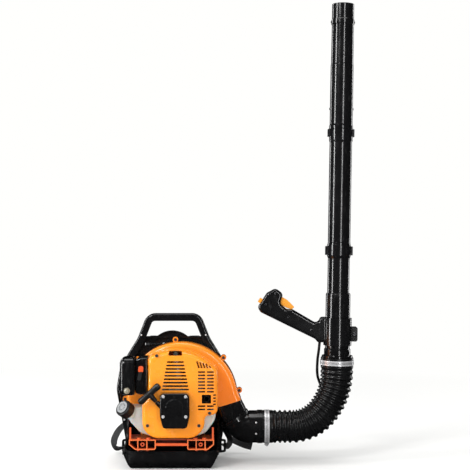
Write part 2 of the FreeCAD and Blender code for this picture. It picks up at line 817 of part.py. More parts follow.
def carburetor_body():
    body = box(-74, -42, -86, -50, CARB_Z - 16, CARB_Z + 16)
    body = round_edges(body, 3, lambda b: b.XLength > 30)
    bowl = rod(point(-58, BIG_END_Y, CARB_Z - 26), point(-58, BIG_END_Y, CARB_Z - 15), 13)
    boss = rod(point(CARB_X, BIG_END_Y, CARB_Z + 8), point(CARB_X, BIG_END_Y, CARB_Z + 22), 6)
    whole = fuse([body, bowl, boss])
    whole = whole.cut(rod(point(-80, BIG_END_Y, CARB_Z), point(-40, BIG_END_Y, CARB_Z), 9))
    low = point(CARB_X, BIG_END_Y, CARB_Z - 14)
    return whole.cut(rod(low, point(CARB_X, BIG_END_Y, CARB_Z + 30), 2.5 + RUNNING))


def throttle_shaft():
    arm_y = BIG_END_Y - 20
    low = CARB_Z + 24
    high = CARB_Z + 27
    shaft = rod(point(CARB_X, BIG_END_Y, CARB_Z - 13), point(CARB_X, BIG_END_Y, CARB_Z + 29), 2.5)
    disc = rod(point(CARB_X - 0.6, BIG_END_Y, CARB_Z), point(CARB_X + 0.6, BIG_END_Y, CARB_Z), 8.7)
    arm = box(CARB_X - 3.5, CARB_X + 3.5, arm_y, BIG_END_Y, low, high)
    end = rod(point(CARB_X, arm_y, low), point(CARB_X, arm_y, high), 5)
    hole = rod(point(CARB_X, arm_y, low - 5), point(CARB_X, arm_y, high + 5), 2)
    return fuse([shaft, disc, arm, end]).cut(hole)


def air_cleaner_case():
    plate = box(-104, -99.5, -126, -52, 216, 314)
    stub = rod(point(-102, BIG_END_Y, CARB_Z), point(-74.5, BIG_END_Y, CARB_Z), 11)
    whole = fuse([plate, stub])
    whole = whole.cut(rod(point(-110, BIG_END_Y, CARB_Z), point(-70, BIG_END_Y, CARB_Z), 9))
    return whole.cut(rod_y(CHOKE_X, CARB_Z, -90, -50, 2.5 + RUNNING))


def choke_lever():
    front = COVER_FRONT - 5.4
    back = COVER_FRONT - 1.4
    shaft = rod_y(CHOKE_X, CARB_Z, back - 1, -57.5, 2.5)
    disc = rod(point(CHOKE_X - 0.6, BIG_END_Y, CARB_Z), point(CHOKE_X + 0.6, BIG_END_Y, CARB_Z), 8.7)
    arm = prism([(-91, 257, 4), (-81, 257, 4), (-76, 284, 3), (-86, 284, 3)], "XZ", front + 1, back)
    knob = prism([(-88, 280, 3), (-74, 280, 3), (-73, 297, 5), (-87, 297, 5)], "XZ", front, back)
    knob = round_edges(knob, 1.2, at_y(front))
    return fuse([shaft, disc, arm, knob])


def carburetor_cover():
    corners = [(-99, 214, 14), (-62, 214, 3), (-62, 318, 3), (-99, 318, 16)]
    outer = round_edges(prism(corners, "XZ", -118, -46), 7, at_y(-118))
    hollow = prism(corners, "XZ", -115, -30, 2.5).fuse(box(-70, -50, -115, -30, 217, 315))
    cover = outer.cut(hollow)
    cover = cover.cut(rod(point(-110, BIG_END_Y, CARB_Z), point(-90, BIG_END_Y, CARB_Z), 11.4))
    return cover.cut(rod_y(CHOKE_X, CARB_Z, -130, -110, 2.5 + RUNNING))


def air_cleaner_cover():
    corners = [(-130, 212, 16), (-48, 212, 16), (-48, 318, 20), (-130, 318, 20)]
    outer = prism(corners, "YZ", -142, -104.4)
    outer = round_edges(outer, 15, at_x(-142))
    inner = prism(corners, "YZ", -139.5, -104, COVER_WALL)
    inner = round_edges(inner, 12.5, at_x(-139.5))
    cover = outer.cut(inner)
    collar = ring_y(-120, 227, -132, -127.6, 11.5, 9.6)
    cover = fuse([cover, collar])
    return cover.cut(rod_y(-120, 227, -143, -118, 9.6))


def air_filter_element():
    foam = prism([(-119, 224, 8), (-58, 224, 8), (-58, 308, 8), (-119, 308, 8)], "YZ", -128, -105)
    for index in range(6):
        y = -112 + 9 * index
        foam = foam.cut(box(-129, -122, y, y + 3, 220, 312))
    return foam


def primer_bulb():
    dome = Part.makeSphere(9, point(-120, -132, 227))
    dome = dome.common(box(-140, -100, -142, -132, 210, 240))
    skirt = rod_y(-120, 227, -132, -127, 9)
    hollow = Part.makeSphere(7.4, point(-120, -132, 227)).common(box(-140, -100, -142, -132, 210, 240))
    return fuse([dome, skirt]).cut(fuse([hollow, rod_y(-120, 227, -132, -126, 7.4)]))


# ---------------------------------------------------------------- muffler and cover

def muffler():
    corners = [(72, 178, 12), (128, 178, 12), (128, 278, 12), (72, 278, 12)]
    body = prism(corners, "XZ", -112, -56)
    body = round_edges(body, 8, at_y(-112))
    body = round_edges(body, 8, at_y(-56))
    seam = prism([(70.5, 176.5, 12), (129.5, 176.5, 12), (129.5, 279.5, 12), (70.5, 279.5, 12)],
                 "XZ", -86, -83)
    flange = box(66.3, 74, -84, -52, EXHAUST_Z - 14, EXHAUST_Z + 14)
    pipe = rod_y(104, 204, -130, -110, 8)
    whole = fuse([body, seam, flange, pipe])
    hollow = prism(corners, "XZ", -112, -56, MUFFLER_WALL)
    hollow = hollow.common(box(60, 140, -112 + MUFFLER_WALL, -56 - MUFFLER_WALL, 170, 290))
    hollow = round_edges(hollow, 8 - MUFFLER_WALL, at_y(-112 + MUFFLER_WALL))
    hollow = round_edges(hollow, 8 - MUFFLER_WALL, at_y(-56 - MUFFLER_WALL))
    whole = whole.cut(hollow)
    whole = whole.cut(rod(point(60, BIG_END_Y, EXHAUST_Z), point(84, BIG_END_Y, EXHAUST_Z), 9))
    return whole.cut(rod_y(104, 204, -132, -100, 6))


COVER_CORNERS = [
    (-61, 323.6, 20), (46.2, 350.3, 148), (134, 286.4, 24), (134, 158, 17), (98, 158, 14),
    (98, 93, 48), (-78, 93, 48), (-78, 190, 18), (-61, 205, 24),
]
LOUVRE_PITCH = 9.6


def cover_shell():
    outer = prism(COVER_CORNERS, "XZ", COVER_FRONT, COVER_BACK)
    outer = round_edges(outer, 12, at_y(COVER_FRONT))
    inner = prism(COVER_CORNERS, "XZ", COVER_FRONT + COVER_WALL, COVER_BACK + 1, COVER_WALL)
    inner = round_edges(inner, 9.5, at_y(COVER_FRONT + COVER_WALL))
    return outer.cut(inner)


def louvre(x0, x1, z, height=5.2):
    """One rounded slot through the cover's front face."""
    half = height / 2
    slot = box(x0 + half, x1 - half, COVER_FRONT - 1, COVER_FRONT + 6, z - half, z + half)
    ends = [rod_y(x, z, COVER_FRONT - 1, COVER_FRONT + 6, half) for x in (x0 + half, x1 - half)]
    return slot.multiFuse(ends)


def cover_slots():
    slots = []
    for row in range(9):
        half = 24 + 14 * row / 8
        slots.append(louvre(CRANK_X + 1 - half, CRANK_X + 1 + half, 308 - LOUVRE_PITCH * row))
    for row in range(7):
        z = 280 - LOUVRE_PITCH * 0.955 * row
        slots.append(louvre(79, 100, z, 5))
        slots.append(louvre(104, 124, z, 5))
    for row in range(4):
        slots.append(louvre(121.6, 130, 215.5 - 8.6 * row, 4.4))
    for z in (184.5, 175.5):
        slots.append(louvre(79, 100, z, 4.6))
        slots.append(louvre(104, 124, z, 4.6))
    for index in range(5):
        x = 80 + 8 * index
        slot = box(-2.3, 2.3, COVER_FRONT - 1, COVER_FRONT + 6, 0, 20 - 2.2 * index)
        slot.rotate(ORIGIN, Y_AXIS, -16)
        slot.translate(point(x + 2, 0, 291))
        slots.append(slot)
    return slots


COVER_SCREWS = ((-36, 326), (-46, 222), (112, 165), (-62, 130), (82, 130))


def engine_cover():
    cover = cover_shell()
    window_frame = prism([(86, 188, 4), (120, 188, 4), (120, 221, 4), (86, 221, 4)], "XZ",
                         COVER_FRONT - 2.5, COVER_FRONT + 2)
    pads = [rod_y(x, z, COVER_FRONT - 0.8, COVER_FRONT + 2, 6.5) for x, z in COVER_SCREWS]
    cover = fuse([cover, window_frame] + pads)
    cover = cover.cut(group(cover_slots()))
    cover = cover.cut(prism([(90, 192, 3), (116, 192, 3), (116, 217, 3), (90, 217, 3)], "XZ",
                            COVER_FRONT - 4, COVER_FRONT + 6))
    cover = cover.cut(box(-20, 50, COVER_FRONT - 3, COVER_FRONT + 8, 140, 222))
    plug_window = prism([(-5, 326, 3), (36, 326, 3), (30, 350, 3), (2, 350, 3)], "XZ", -140, -95)
    cover = cover.cut(plug_window)
    cover = cover.cut(box(-150, 150, -107, 0, 80, 182))
    cover = cover.cut(box(-80, -50, -104, -38, 206, 302))
    for x, z in COVER_SCREWS:
        cover = cover.cut(rod_y(x, z, -140, -120, 2.6))
    return cover


def cover_screws():
    return group([screw(x, COVER_FRONT - 0.9, z, 4.4, 9) for x, z in COVER_SCREWS])


# ---------------------------------------------------------------- starter

HOUSING_CORNERS = [(-26, 224, 12), (56, 224, 12), (57, 160, 40),
                   (49, 126, 10), (-17, 126, 10), (-26, 160, 40)]
HOUSING_SCREWS = ((CRANK_X - 31, CRANK_Z + 31), (CRANK_X + 31, CRANK_Z + 31),
                  (CRANK_X - 31.5, CRANK_Z - 25), (CRANK_X + 31.5, CRANK_Z - 25))


def pull_point(distance, y=PULLEY_Y):
    """A point on the starter rope's line, measured from where it leaves the pulley."""
    return point(CRANK_X - PULLEY_RADIUS * PULL_Z + PULL_X * distance, y,
                 CRANK_Z + PULLEY_RADIUS * PULL_X + PULL_Z * distance)


def recoil_housing():
    outer = prism(HOUSING_CORNERS, "XZ", HOUSING_FRONT, COVER_FRONT - 0.6)
    outer = round_edges(outer, 6, at_y(HOUSING_FRONT))
    sleeve = rod(pull_point(20), pull_point(44), 6.5)
    dome = crank_rod(HOUSING_FRONT - 2, HOUSING_FRONT + 2, 24)
    dome = round_edges(dome, 1.5, at_y(HOUSING_FRONT - 2))
    whole = fuse([outer, sleeve, dome])
    whole = whole.cut(crank_rod(HOUSING_FRONT + 3, -130, 36))
    whole = fuse([whole, crank_rod(HOUSING_FRONT + 2, -144.5, 6)])
    for index in range(5):
        z = CRANK_Z - 13 + 6.5 * index
        whole = whole.cut(box(CRANK_X - 14, CRANK_X + 14, HOUSING_FRONT - 3, HOUSING_FRONT - 1.2,
                              z - 1.5, z + 1.5))
    for x, z in HOUSING_SCREWS:
        whole = whole.cut(rod_y(x, z, -170, -130, 2.6))
    return whole.cut(rod(pull_point(0), pull_point(50), 2.4))


def recoil_screws():
    return group([screw(x, HOUSING_FRONT - 0.1, z, 4.2, 30) for x, z in HOUSING_SCREWS])


def recoil_pulley():
    low = PULLEY_Y - 6
    high = PULLEY_Y + 6
    core = crank_rod(low, high, PULLEY_RADIUS - ROPE_RADIUS - RUNNING)
    flanges = [crank_rod(low, low + 2.5, 32), crank_rod(high - 2.5, high, 32)]
    whole = fuse([core] + flanges)
    pawl = prism([(8, -4, 2), (22, -5, 2), (24, 1, 1), (8, 4, 2)], "XZ", high - 0.5, high + 4.5)
    pawl.translate(point(CRANK_X, 0, CRANK_Z))
    whole = fuse([whole, pawl])
    return whole.cut(crank_rod(low - 1, high + 6, 6 + RUNNING))


def recoil_spring():
    inner_side = []
    outer_side = []
    turns = 5.0
    steps = 120
    for index in range(steps + 1):
        angle = 2 * math.pi * turns * index / steps
        radius = 9 + 19 * index / steps
        x = math.cos(angle)
        z = math.sin(angle)
        inner_side.append(point(CRANK_X + (radius - 0.35) * x, -161.8, CRANK_Z + (radius - 0.35) * z))
        outer_side.append(point(CRANK_X + (radius + 0.35) * x, -161.8, CRANK_Z + (radius + 0.35) * z))
    curves = []
    for spots in (inner_side, outer_side):
        curve = Part.BSplineCurve()
        curve.interpolate(spots)
        curves.append(curve.toShape())
    ends = [Part.makeLine(inner_side[0], outer_side[0]), Part.makeLine(inner_side[-1], outer_side[-1])]
    wire = Part.Wire(Part.sortEdges([curves[0], ends[0], curves[1], ends[1]])[0])
    return extrude(wire, Y_AXIS, 5)


def starter_rope():
    return rod(pull_point(0), pull_point(62), ROPE_RADIUS)


def starter_handle():
    bar_direction = point(PULL_Z, 0, -PULL_X)
    profile = [(0, -38), (5.5, -38), (8.8, -35), (9.8, -30), (8.6, -14), (8.6, 14),
               (9.8, 30), (8.8, 35), (5.5, 38), (0, 38)]
    bar = revolve(profile, pull_point(74), bar_direction)
    neck = Part.makeCone(5.2, 9, 26, pull_point(45.2), point(PULL_X, 0, PULL_Z))
    return fuse([bar, neck]).cut(rod(pull_point(40), pull_point(63), ROPE_RADIUS + 0.15))


# ---------------------------------------------------------------- fuel

NECK_DIRECTION = point(-0.53, -0.67, 0.53).normalize()
NECK_ROOT = point(-108, -89, 154)
TANK_CORNERS = [(-122, 178, 12), (-118, 140, 40), (-85, 104, 30), (-40, 90, 40), (60, 90, 40),
                (100, 104, 30), (126, 140, 40), (130, 170, 12), (82, 170, 14), (60, 140, 20),
                (-30, 140, 20), (-62, 178, 14)]


def neck_point(distance):
    return NECK_ROOT + NECK_DIRECTION * distance


def fuel_tank():
    outer = prism(TANK_CORNERS, "XZ", -105, -39)
    outer = round_edges(outer, 7, at_y(-105))
    outer = round_edges(outer, 7, at_y(-39))
    outer = outer.cut(crank_rod(-110, -30, CASE_RADIUS + 5))
    inner = prism(TANK_CORNERS, "XZ", -102, -42, 3)
    inner = round_edges(inner, 4, at_y(-102))
    inner = round_edges(inner, 4, at_y(-42))
    inner = inner.cut(crank_rod(-110, -30, CASE_RADIUS + 8))
    neck = rod(neck_point(0), neck_point(37), 17)
    bore = rod(neck_point(-6), neck_point(38), 14)
    outside = neck.cut(inner)
    tank = fuse([outer, outside])
    return tank.cut(inner).cut(bore.common(rod(neck_point(4), neck_point(38), 14)).fuse(bore.common(inner)))


def cap_seal():
    return ring(neck_point(37.05), neck_point(38.8), 16.8, 12)


def fuel_cap():
    body = rod(neck_point(21), neck_point(48), 24)
    body = body.makeFillet(3, [edge for edge in body.Edges if edge.Length > 140])
    ribs = []
    for index in range(16):
        groove = box(23, 26, -1.5, 1.5, 25, 44)
        groove.rotate(ORIGIN, Z_AXIS, 22.5 * index)
        ribs.append(groove)
    grooves = group(ribs)
    grooves.Placement = FreeCAD.Placement(neck_point(0), FreeCAD.Rotation(Z_AXIS, NECK_DIRECTION))
    return body.cut(grooves).cut(rod(neck_point(20), neck_point(39.1), 17.3))


def cap_disc():
    disc = rod(neck_point(48.1), neck_point(50), 18.5)
    return disc.makeFillet(0.8, [disc.Edges[0]])


# ---------------------------------------------------------------- outlet and hose

OUTLET_CENTRE = point(OUTLET_INNER_X, 11, OUTLET_INNER_Z) + OUTLET_ACROSS * (OUTLET_WIDTH / 2)
SEAM = point(SEAM_X, DUCT_Y, SEAM_Z)
SEAM_DIRECTION = point(0.537, 0, -0.843).normalize()
SEAM_RADIUS = 41.0


def outlet_elbow():
    """A duct that turns the casing's rectangular outlet into a round one at the slanted seam."""
    start = OUTLET_CENTRE + OUTLET_DIRECTION * GAP
    end = SEAM - SEAM_DIRECTION * GAP
    outer = []
    inner = []
    steps = 9
    for index in range(steps + 1):
        fraction = index / steps
        blend = fraction * fraction * (3 - 2 * fraction)
        normal = (OUTLET_DIRECTION * (1 - blend) + SEAM_DIRECTION * blend).normalize()
        across = point(-normal.z, 0, normal.x)
        centre = start + (end - start) * fraction
        half_across = OUTLET_WIDTH / 2 + (SEAM_RADIUS - OUTLET_WIDTH / 2) * blend
        half_along = 43 + (SEAM_RADIUS - 43) * blend
        power = 5.5 - 3.5 * blend
        outer.append(superellipse(centre, across, Y_AXIS, half_across, half_along, power))
        inner.append(superellipse(centre, across, Y_AXIS, half_across - 3, half_along - 3, power))
    duct = Part.makeLoft(outer, True, True).cut(Part.makeLoft(inner, True, True))
    spigot = ring(SEAM - SEAM_DIRECTION * 10, SEAM + SEAM_DIRECTION * 8, 36.3, 34)
    web = ring(SEAM - SEAM_DIRECTION * 10, SEAM - SEAM_DIRECTION * 4, 39.2, 34.5)
    collar = ring(SEAM - SEAM_DIRECTION * 7, SEAM - SEAM_DIRECTION * GAP, SEAM_RADIUS + 4, 38.6)
    return fuse([duct, spigot, web, collar])


def swivel_elbow():
    centre = SEAM + point(0.843, 0, 0.537).normalize() * ELBOW_BEND_RADIUS
    radii = (41.0, 42.5, 44.5, 46.3, 47.6)
    outer = []
    inner = []
    first = math.atan2(SEAM.z - centre.z, SEAM.x - centre.x)
    last = -math.pi / 2
    for index, radius in enumerate(radii):
        angle = first + (last - first) * index / (len(radii) - 1)
        spot = centre + point(math.cos(angle), 0, math.sin(angle)) * ELBOW_BEND_RADIUS
        normal = point(-math.sin(angle), 0, math.cos(angle))
        if index == 0:
            spot = spot + normal * GAP
        outer.append(circle_wire(spot, normal, radius - 0.6))
        inner.append(circle_wire(spot, normal, radius - 3.4))
    bottom = centre - Z_AXIS * ELBOW_BEND_RADIUS
    bend = loft(outer)
    passage = loft(inner)
    straight = rod(bottom, point(CUFF_START_X - 0.5, DUCT_Y, bottom.z), 47)
    ledge = rod(point(248, DUCT_Y, bottom.z), point(CUFF_START_X - 0.5, DUCT_Y, bottom.z), 48.6)
    spigot = rod(bottom, point(CUFF_START_X + 24, DUCT_Y, bottom.z), 43.4)
    collar = ring(SEAM + SEAM_DIRECTION * GAP, SEAM + SEAM_DIRECTION * 6, SEAM_RADIUS + 3, 38)
    bore = rod(bottom - X_AXIS, point(CUFF_START_X + 30, DUCT_Y, bottom.z), 41)
    whole = fuse([bend, straight, ledge, spigot])
    whole = whole.cut(passage).cut(bore)
    return fuse([whole, collar])


ELBOW_END_Z = SEAM_Z + 0.537 * ELBOW_BEND_RADIUS / math.hypot(0.843, 0.537) - ELBOW_BEND_RADIUS


def hose_edges(start_x):
    """The hose's centre line: a straight run, then three arcs that turn it upright."""
    here = point(HOSE_STRAIGHT_END, DUCT_Y, ELBOW_END_Z)
    edges = [Part.makeLine(point(start_x, DUCT_Y, ELBOW_END_Z), here)]
    heading = 0.0
    for radius, turn in HOSE_BENDS:
        def advance(degrees):
            a = math.radians(heading)
            b = math.radians(heading + degrees)
            return here + point(math.sin(b) - math.sin(a), 0, math.cos(a) - math.cos(b)) * radius
        edges.append(Part.Arc(here, advance(turn / 2), advance(turn)).toShape())
        here = advance(turn)
        heading += turn
    end = here + point(math.cos(math.radians(heading)), 0, math.sin(math.radians(heading))) * HOSE_END_RUN
    edges.append(Part.makeLine(here, end))
    return edges, end


WAND_ORIGIN = hose_edges(CUFF_START_X)[1]


def wand_frame(shape):
    turn = FreeCAD.Rotation(Y_AXIS, WAND_TILT)
    placed = shape.copy()
    placed.Placement = FreeCAD.Placement(WAND_ORIGIN, turn).multiply(shape.Placement)
    return placed


def wand_point(x, y, z):
    return FreeCAD.Placement(WAND_ORIGIN, FreeCAD.Rotation(Y_AXIS, WAND_TILT)).multVec(point(x, y, z))


def flexible_hose():
    edges = hose_edges(CUFF_START_X)[0]
    end = wand_point(0, 0, 14)
    edges.append(Part.makeLine(WAND_ORIGIN, end))
    path = Part.Wire(edges)
    start = point(CUFF_START_X, DUCT_Y, ELBOW_END_Z)
    outer = path.makePipeShell([circle_wire(start, X_AXIS, HOSE_RADIUS)], True, False)
    inner = path.makePipeShell([circle_wire(start, X_AXIS, HOSE_BORE + 1.7)], True, False)
    print("hose length", round(path.Length))
    return outer.cut(inner)


def clamp_band(radius, width):
    """A worm-drive band about Z with its screw housing on the +Y side."""
    band = ring(point(0, 0, -width / 2), point(0, 0, width / 2), radius + 1.2, radius)
    housing = box(-11, 11, radius + 0.6, radius + 8, -width / 2 + 0.5, width / 2 - 0.5)
    barrel = rod(point(-17, radius + 6, 0), point(15, radius + 6, 0), 4.5)
    return fuse([band, housing, barrel]).cut(rod(point(0, 0, -20), point(0, 0, 20), radius))


def hose_clamp_lower():
    band = clamp_band(HOSE_RADIUS + 0.1, 14)
    turn = FreeCAD.Rotation(X_AXIS, -70).multiply(FreeCAD.Rotation(Y_AXIS, 90))
    band.Placement = FreeCAD.Placement(point(276, DUCT_Y, ELBOW_END_Z), turn)
    return band


def hose_clamp_upper():
    return wand_frame(clamp_band(HOSE_RADIUS + 0.1, 14))


# ---------------------------------------------------------------- wand tubes

def swivel_tube():
    profile = [(34, -28), (43.4, -28), (43.4, 14.5), (45, 15), (45, 20), (38.6, 22), (38.6, 38),
               (36, 42), (36, 198), (35.2, 201.5), (33, 203), (32.1, 203), (32.1, 150), (34, 146)]
    return wand_frame(revolve(profile))


def lower_tube():
    profile = [(29.6, 151), (31.8, 151), (31.8, 304), (34.4, 311), (34.9, 313), (34.9, 343),
               (34.4, 345.7), (31.6, 345.7), (31.6, 315), (29.6, 313)]
    tube = revolve(profile)
    lug = ring(point(0, 0, 314), point(0, 0, 340), 40.5, 33).common(box(-50, 50, -11, 11, 300, 360))
    lug = round_edges(lug, 2, at_z(340))
    return wand_frame(fuse([tube, lug]))


def middle_tube():
    profile = [(29.2, 315.5), (31.3, 315.5), (31.3, 346), (33.4, 346), (33.4, 350), (32.6, 352),
               (32.6, 644), (34.6, 650), (34.6, 682), (34, 683.7), (31.6, 683.7), (31.6, 653),
               (30.2, 650), (30.2, 347)]
    tube = revolve(profile)
    lug = ring(point(0, 0, 661), point(0, 0, 683), 39.5, 33).common(box(-50, 50, -11, 11, 600, 700))
    lug = round_edges(lug, 2, at_z(683))
    return wand_frame(fuse([tube, lug]))


def nozzle_tube():
    profile = [(29.2, 653.5), (31.3, 653.5), (31.3, 684), (35, 684), (35, 692), (33.4, 697),
               (33.3, 871), (32.6, 874), (32.2, 988), (33.8, 990), (33.8, 1003), (32, 1005),
               (32, WAND_END), (29.8, WAND_END), (29.8, 686)]
    tube = revolve(profile)
    for height in (742, 996.5):
        for side in (-1, 1):
            peg = rod(point(side * 31, 0, height), point(side * 35.4, 0, height), 3)
            tube = tube.fuse(peg)
    return wand_frame(tube.removeSplitter())


# ---------------------------------------------------------------- throttle handle

HANDLE_CORNERS = [
    (452, 424, 6), (434, 424, 9), (424, 404, 12), (352, 446, 12), (334, 447, 12), (315, 464, 14),
    (324, 492, 12), (302, 508, 14), (276, 494, 16), (249, 452, 12), (258, 438, 9), (417, 360, 16),
    (425, 350, 6), (452, 350, 6),
]
HANDLE_HALF = 17.0
TRIGGER_PIVOT = (309, 476)
HANDLE_SCREWS = ((300, 494), (272, 462), (338, 424), (404, 388))


def handle_solid():
    y0 = DUCT_Y - HANDLE_HALF
    y1 = DUCT_Y + HANDLE_HALF
    grip = prism(HANDLE_CORNERS, "XZ", y0, y1)
    grip = round_edges(grip, 8, at_y(y0))
    grip = round_edges(grip, 8, at_y(y1))
    hollow = prism(HANDLE_CORNERS, "XZ", y0 + 3, y1 - 3, 3)
    hollow = hollow.common(box(200, 424, y0, y1, 300, 600))
    clamp = rod(point(0, 0, 50), point(0, 0, 130), 41)
    lug = box(20, 58, -10, 10, 62, 105)
    lug = lug.makeFillet(6, [edge for edge in lug.Edges if edge.BoundBox.YLength > 15
                             and edge.BoundBox.XMin > 50])
    ring_part = wand_frame(fuse([clamp, lug]))
    whole = fuse([grip.cut(hollow), ring_part])
    whole = whole.cut(wand_frame(rod(point(0, 0, 40), point(0, 0, 140), 36.05)))
    gap = wand_frame(box(30, 70, -1.2, 1.2, 40, 140))
    bolt_hole = wand_frame(rod(point(49, -30, 84), point(49, 30, 84), 2.7))
    slot = prism([(296, 470, 3), (296, 489, 3), (318, 490, 0), (362, 456, 0), (362, 436, 0),
                  (330, 430, 4), (306, 450, 3)], "XZ", DUCT_Y - 6.7, DUCT_Y + 6.7)
    whole = whole.cut(gap).cut(bolt_hole).cut(slot)
    for x, z in HANDLE_SCREWS:
        whole = whole.cut(rod_y(x, z, y0 - 1, y0 + 26, 1.9))
    whole = whole.cut(rod_y(TRIGGER_PIVOT[0], TRIGGER_PIVOT[1], DUCT_Y - 13, DUCT_Y + 13, 2))
    return whole.cut(switch_block(0.5, 5))


def switch_block(extra, travel):
    """The stop switch's space; its slider moves along the head's rear edge."""
    block = box(-6 - extra, 10 + extra, -5 - extra, 5 + extra, -7 - extra, 7 + extra + travel)
    turn = FreeCAD.Rotation(Y_AXIS, 32.7)
    block.Placement = FreeCAD.Placement(point(259, DUCT_Y, 471), turn)
    return block


def handle_shell_front():
    return handle_solid().common(box(200, 600, -60, DUCT_Y - 0.1, 300, 600))


def handle_shell_rear():
    return handle_solid().common(box(200, 600, DUCT_Y + 0.1, 90, 300, 600))


def trigger():
    blade = prism([(300, 484, 4), (316, 485, 6), (336, 474, 10), (357, 453, 3), (349, 446, 3),
                   (331, 452, 10), (312, 464, 6), (300, 468, 4)], "XZ", DUCT_Y - 6, DUCT_Y + 6)
    blade = round_edges(blade, 1.5, at_y(DUCT_Y - 6))
    blade = round_edges(blade, 1.5, at_y(DUCT_Y + 6))
    return blade.cut(rod_y(TRIGGER_PIVOT[0], TRIGGER_PIVOT[1], -20, 60, 2 + RUNNING))


def trigger_pin():
    return rod_y(TRIGGER_PIVOT[0], TRIGGER_PIVOT[1], DUCT_Y - 13, DUCT_Y + 13, 2)


def stop_switch():
    slider = switch_block(0, 0)
    ridges = [box(-7.2, -5.5, -5, 5, -5 + 4 * index, -3.4 + 4 * index) for index in range(3)]
    for ridge in ridges:
        ridge.Placement = slider.Placement
    return fuse([slider] + ridges)


def handle_screws():
    y = DUCT_Y - HANDLE_HALF - 0.1
    return group([screw(x, y, z, 3.4, 24) for x, z in HANDLE_SCREWS])


def handle_bolt():
    head = rod(point(49, -13.3, 84), point(49, -10.3, 84), 5)
    shank = rod(point(49, -10.3, 84), point(49, 13, 84), 2.5)
    nut = rod(point(49, 10.3, 84), point(49, 14.3, 84), 4.6)
    socket = rod(point(49, -14, 84), point(49, -12, 84), 2)
    return wand_frame(fuse([head, shank, nut]).cut(socket))


# ---------------------------------------------------------------- throttle cable

CABLE_RADIUS = 4.0
CABLE_WAND = [(431, 15, 349.6), (429, 16, 326), (425, 20, 300), (425, 30, 276)]
CABLE_HOSE = [(425, 30, 276), (425, 40, 252), (434, 56, 226), (447, 70, 196), (444, 73, 160), (416, 73, 127),
              (372, 73, 108), (325, 73, 103), (285, 73, 103)]
CABLE_ELBOW = [(285, 73, 103), (250, 73, 103), (222, 72, 107), (203, 69, 115), (190, 67.5, 121)]
CABLE_UNIT = [(190, 67.5, 121), (177, 66, 127), (158, 62, 127), (125, 61, 112), (80, 61, 96),
              (30, 61, 90), (-20, 61, 92), (-70, 61, 104), (-112, 60, 126), (-141, 42, 152),
              (-155, 8, 180), (-152, -22, 206), (-134, -39, 234), (-108, -40, 262), (-88, -40, 283),
              (-76, -64, 290), (-65, -84, 289)]


def route(spots):
    return [point(x, y, z) for x, y, z in spots]


def cable_piece(spots):
    radii = [round(bend_radius(a, b, c)) for a, b, c in zip(route(spots), route(spots)[1:], route(spots)[2:])]
    print("cable radii", radii)
    return cable(route(spots), CABLE_RADIUS)


# ---------------------------------------------------------------- the whole object

NODES = {
    "backpack_frame": backpack_frame,
    "back_pad": back_pad,
    "shoulder_strap_right": shoulder_strap,
    "shoulder_strap_left": lambda: mirrored(shoulder_strap()),
    "strap_webbing": lambda: group([left_webbing(), right_webbing(), webbing_tail()]),
    "strap_hardware": strap_hardware,
    "vibration_mounts": vibration_mounts,
    "engine_stand": engine_stand,
    "fan_case_front": fan_case_front,
    "fan_case_rear": fan_case_rear,
    "intake_grille": intake_grille,
    "impeller": lambda: group([impeller(), impeller_nut()]),
    "crankcase_front": crankcase_front,
    "crankcase_rear": crankcase_rear,
    "crankshaft": crankshaft_node,
    "main_bearings": main_bearings,
    "cylinder": cylinder,
    "piston": piston,
    "piston_pin_and_rings": lambda: group([gudgeon_pin(), piston_rings()]),
    "connecting_rod": lambda: group([connecting_rod(), crank_pin()]),
    "flywheel": lambda: group([flywheel(), starter_cup()]),
    "ignition_coil": ignition_coil,
    "spark_plug": lambda: group([spark_plug(), spark_plug_boot()]),
    "carburetor_body": lambda: group([carburetor_body(), intake_manifold()]),
    "throttle_shaft": throttle_shaft,
    "choke_lever": choke_lever,
    "air_cleaner_case": air_cleaner_case,
    "air_cleaner_cover": air_cleaner_cover,
    "air_filter_element": air_filter_element,
    "carburetor_cover": carburetor_cover,
    "primer_bulb": primer_bulb,
    "muffler": muffler,
    "engine_cover": engine_cover,
    "case_screws": lambda: group([cover_screws(), recoil_screws(), fan_case_screws()]),
    "recoil_housing": recoil_housing,
    "recoil_pulley": recoil_pulley,
    "recoil_spring": recoil_spring,
    "starter_rope": starter_rope,
    "starter_handle": starter_handle,
    "fuel_tank": fuel_tank,
    "cap_seal": cap_seal,
    "fuel_cap": lambda: group([fuel_cap(), cap_disc()]),
    "outlet_elbow": outlet_elbow,
    "swivel_elbow": swivel_elbow,
    "flexible_hose": flexible_hose,
    "hose_clamp_lower": hose_clamp_lower,
    "hose_clamp_upper": hose_clamp_upper,
    "swivel_tube": swivel_tube,
    "lower_tube": lower_tube,
    "middle_tube": middle_tube,
    "nozzle_tube": nozzle_tube,
    "handle_shell_front": handle_shell_front,
    "handle_shell_rear": handle_shell_rear,
    "trigger": trigger,
    "stop_switch": stop_switch,
    "handle_fasteners": lambda: group([handle_screws(), handle_bolt(), trigger_pin()]),
    "throttle_cable_wand": lambda: cable_piece(CABLE_WAND),
    "throttle_cable_hose": lambda: cable_piece(CABLE_HOSE),
    "throttle_cable_elbow": lambda: cable_piece(CABLE_ELBOW),
    "throttle_cable_unit": lambda: cable_piece(CABLE_UNIT),
}


def main():
    os.makedirs("parts", exist_ok=True)
    for name, build in NODES.items():
        build().exportStep("parts/" + name + ".step")


if __name__ == "__main__":
    main()
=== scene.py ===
import math

import bmesh
import bpy
import numpy as np
from mathutils import Matrix, Vector
from mathutils.bvhtree import BVHTree


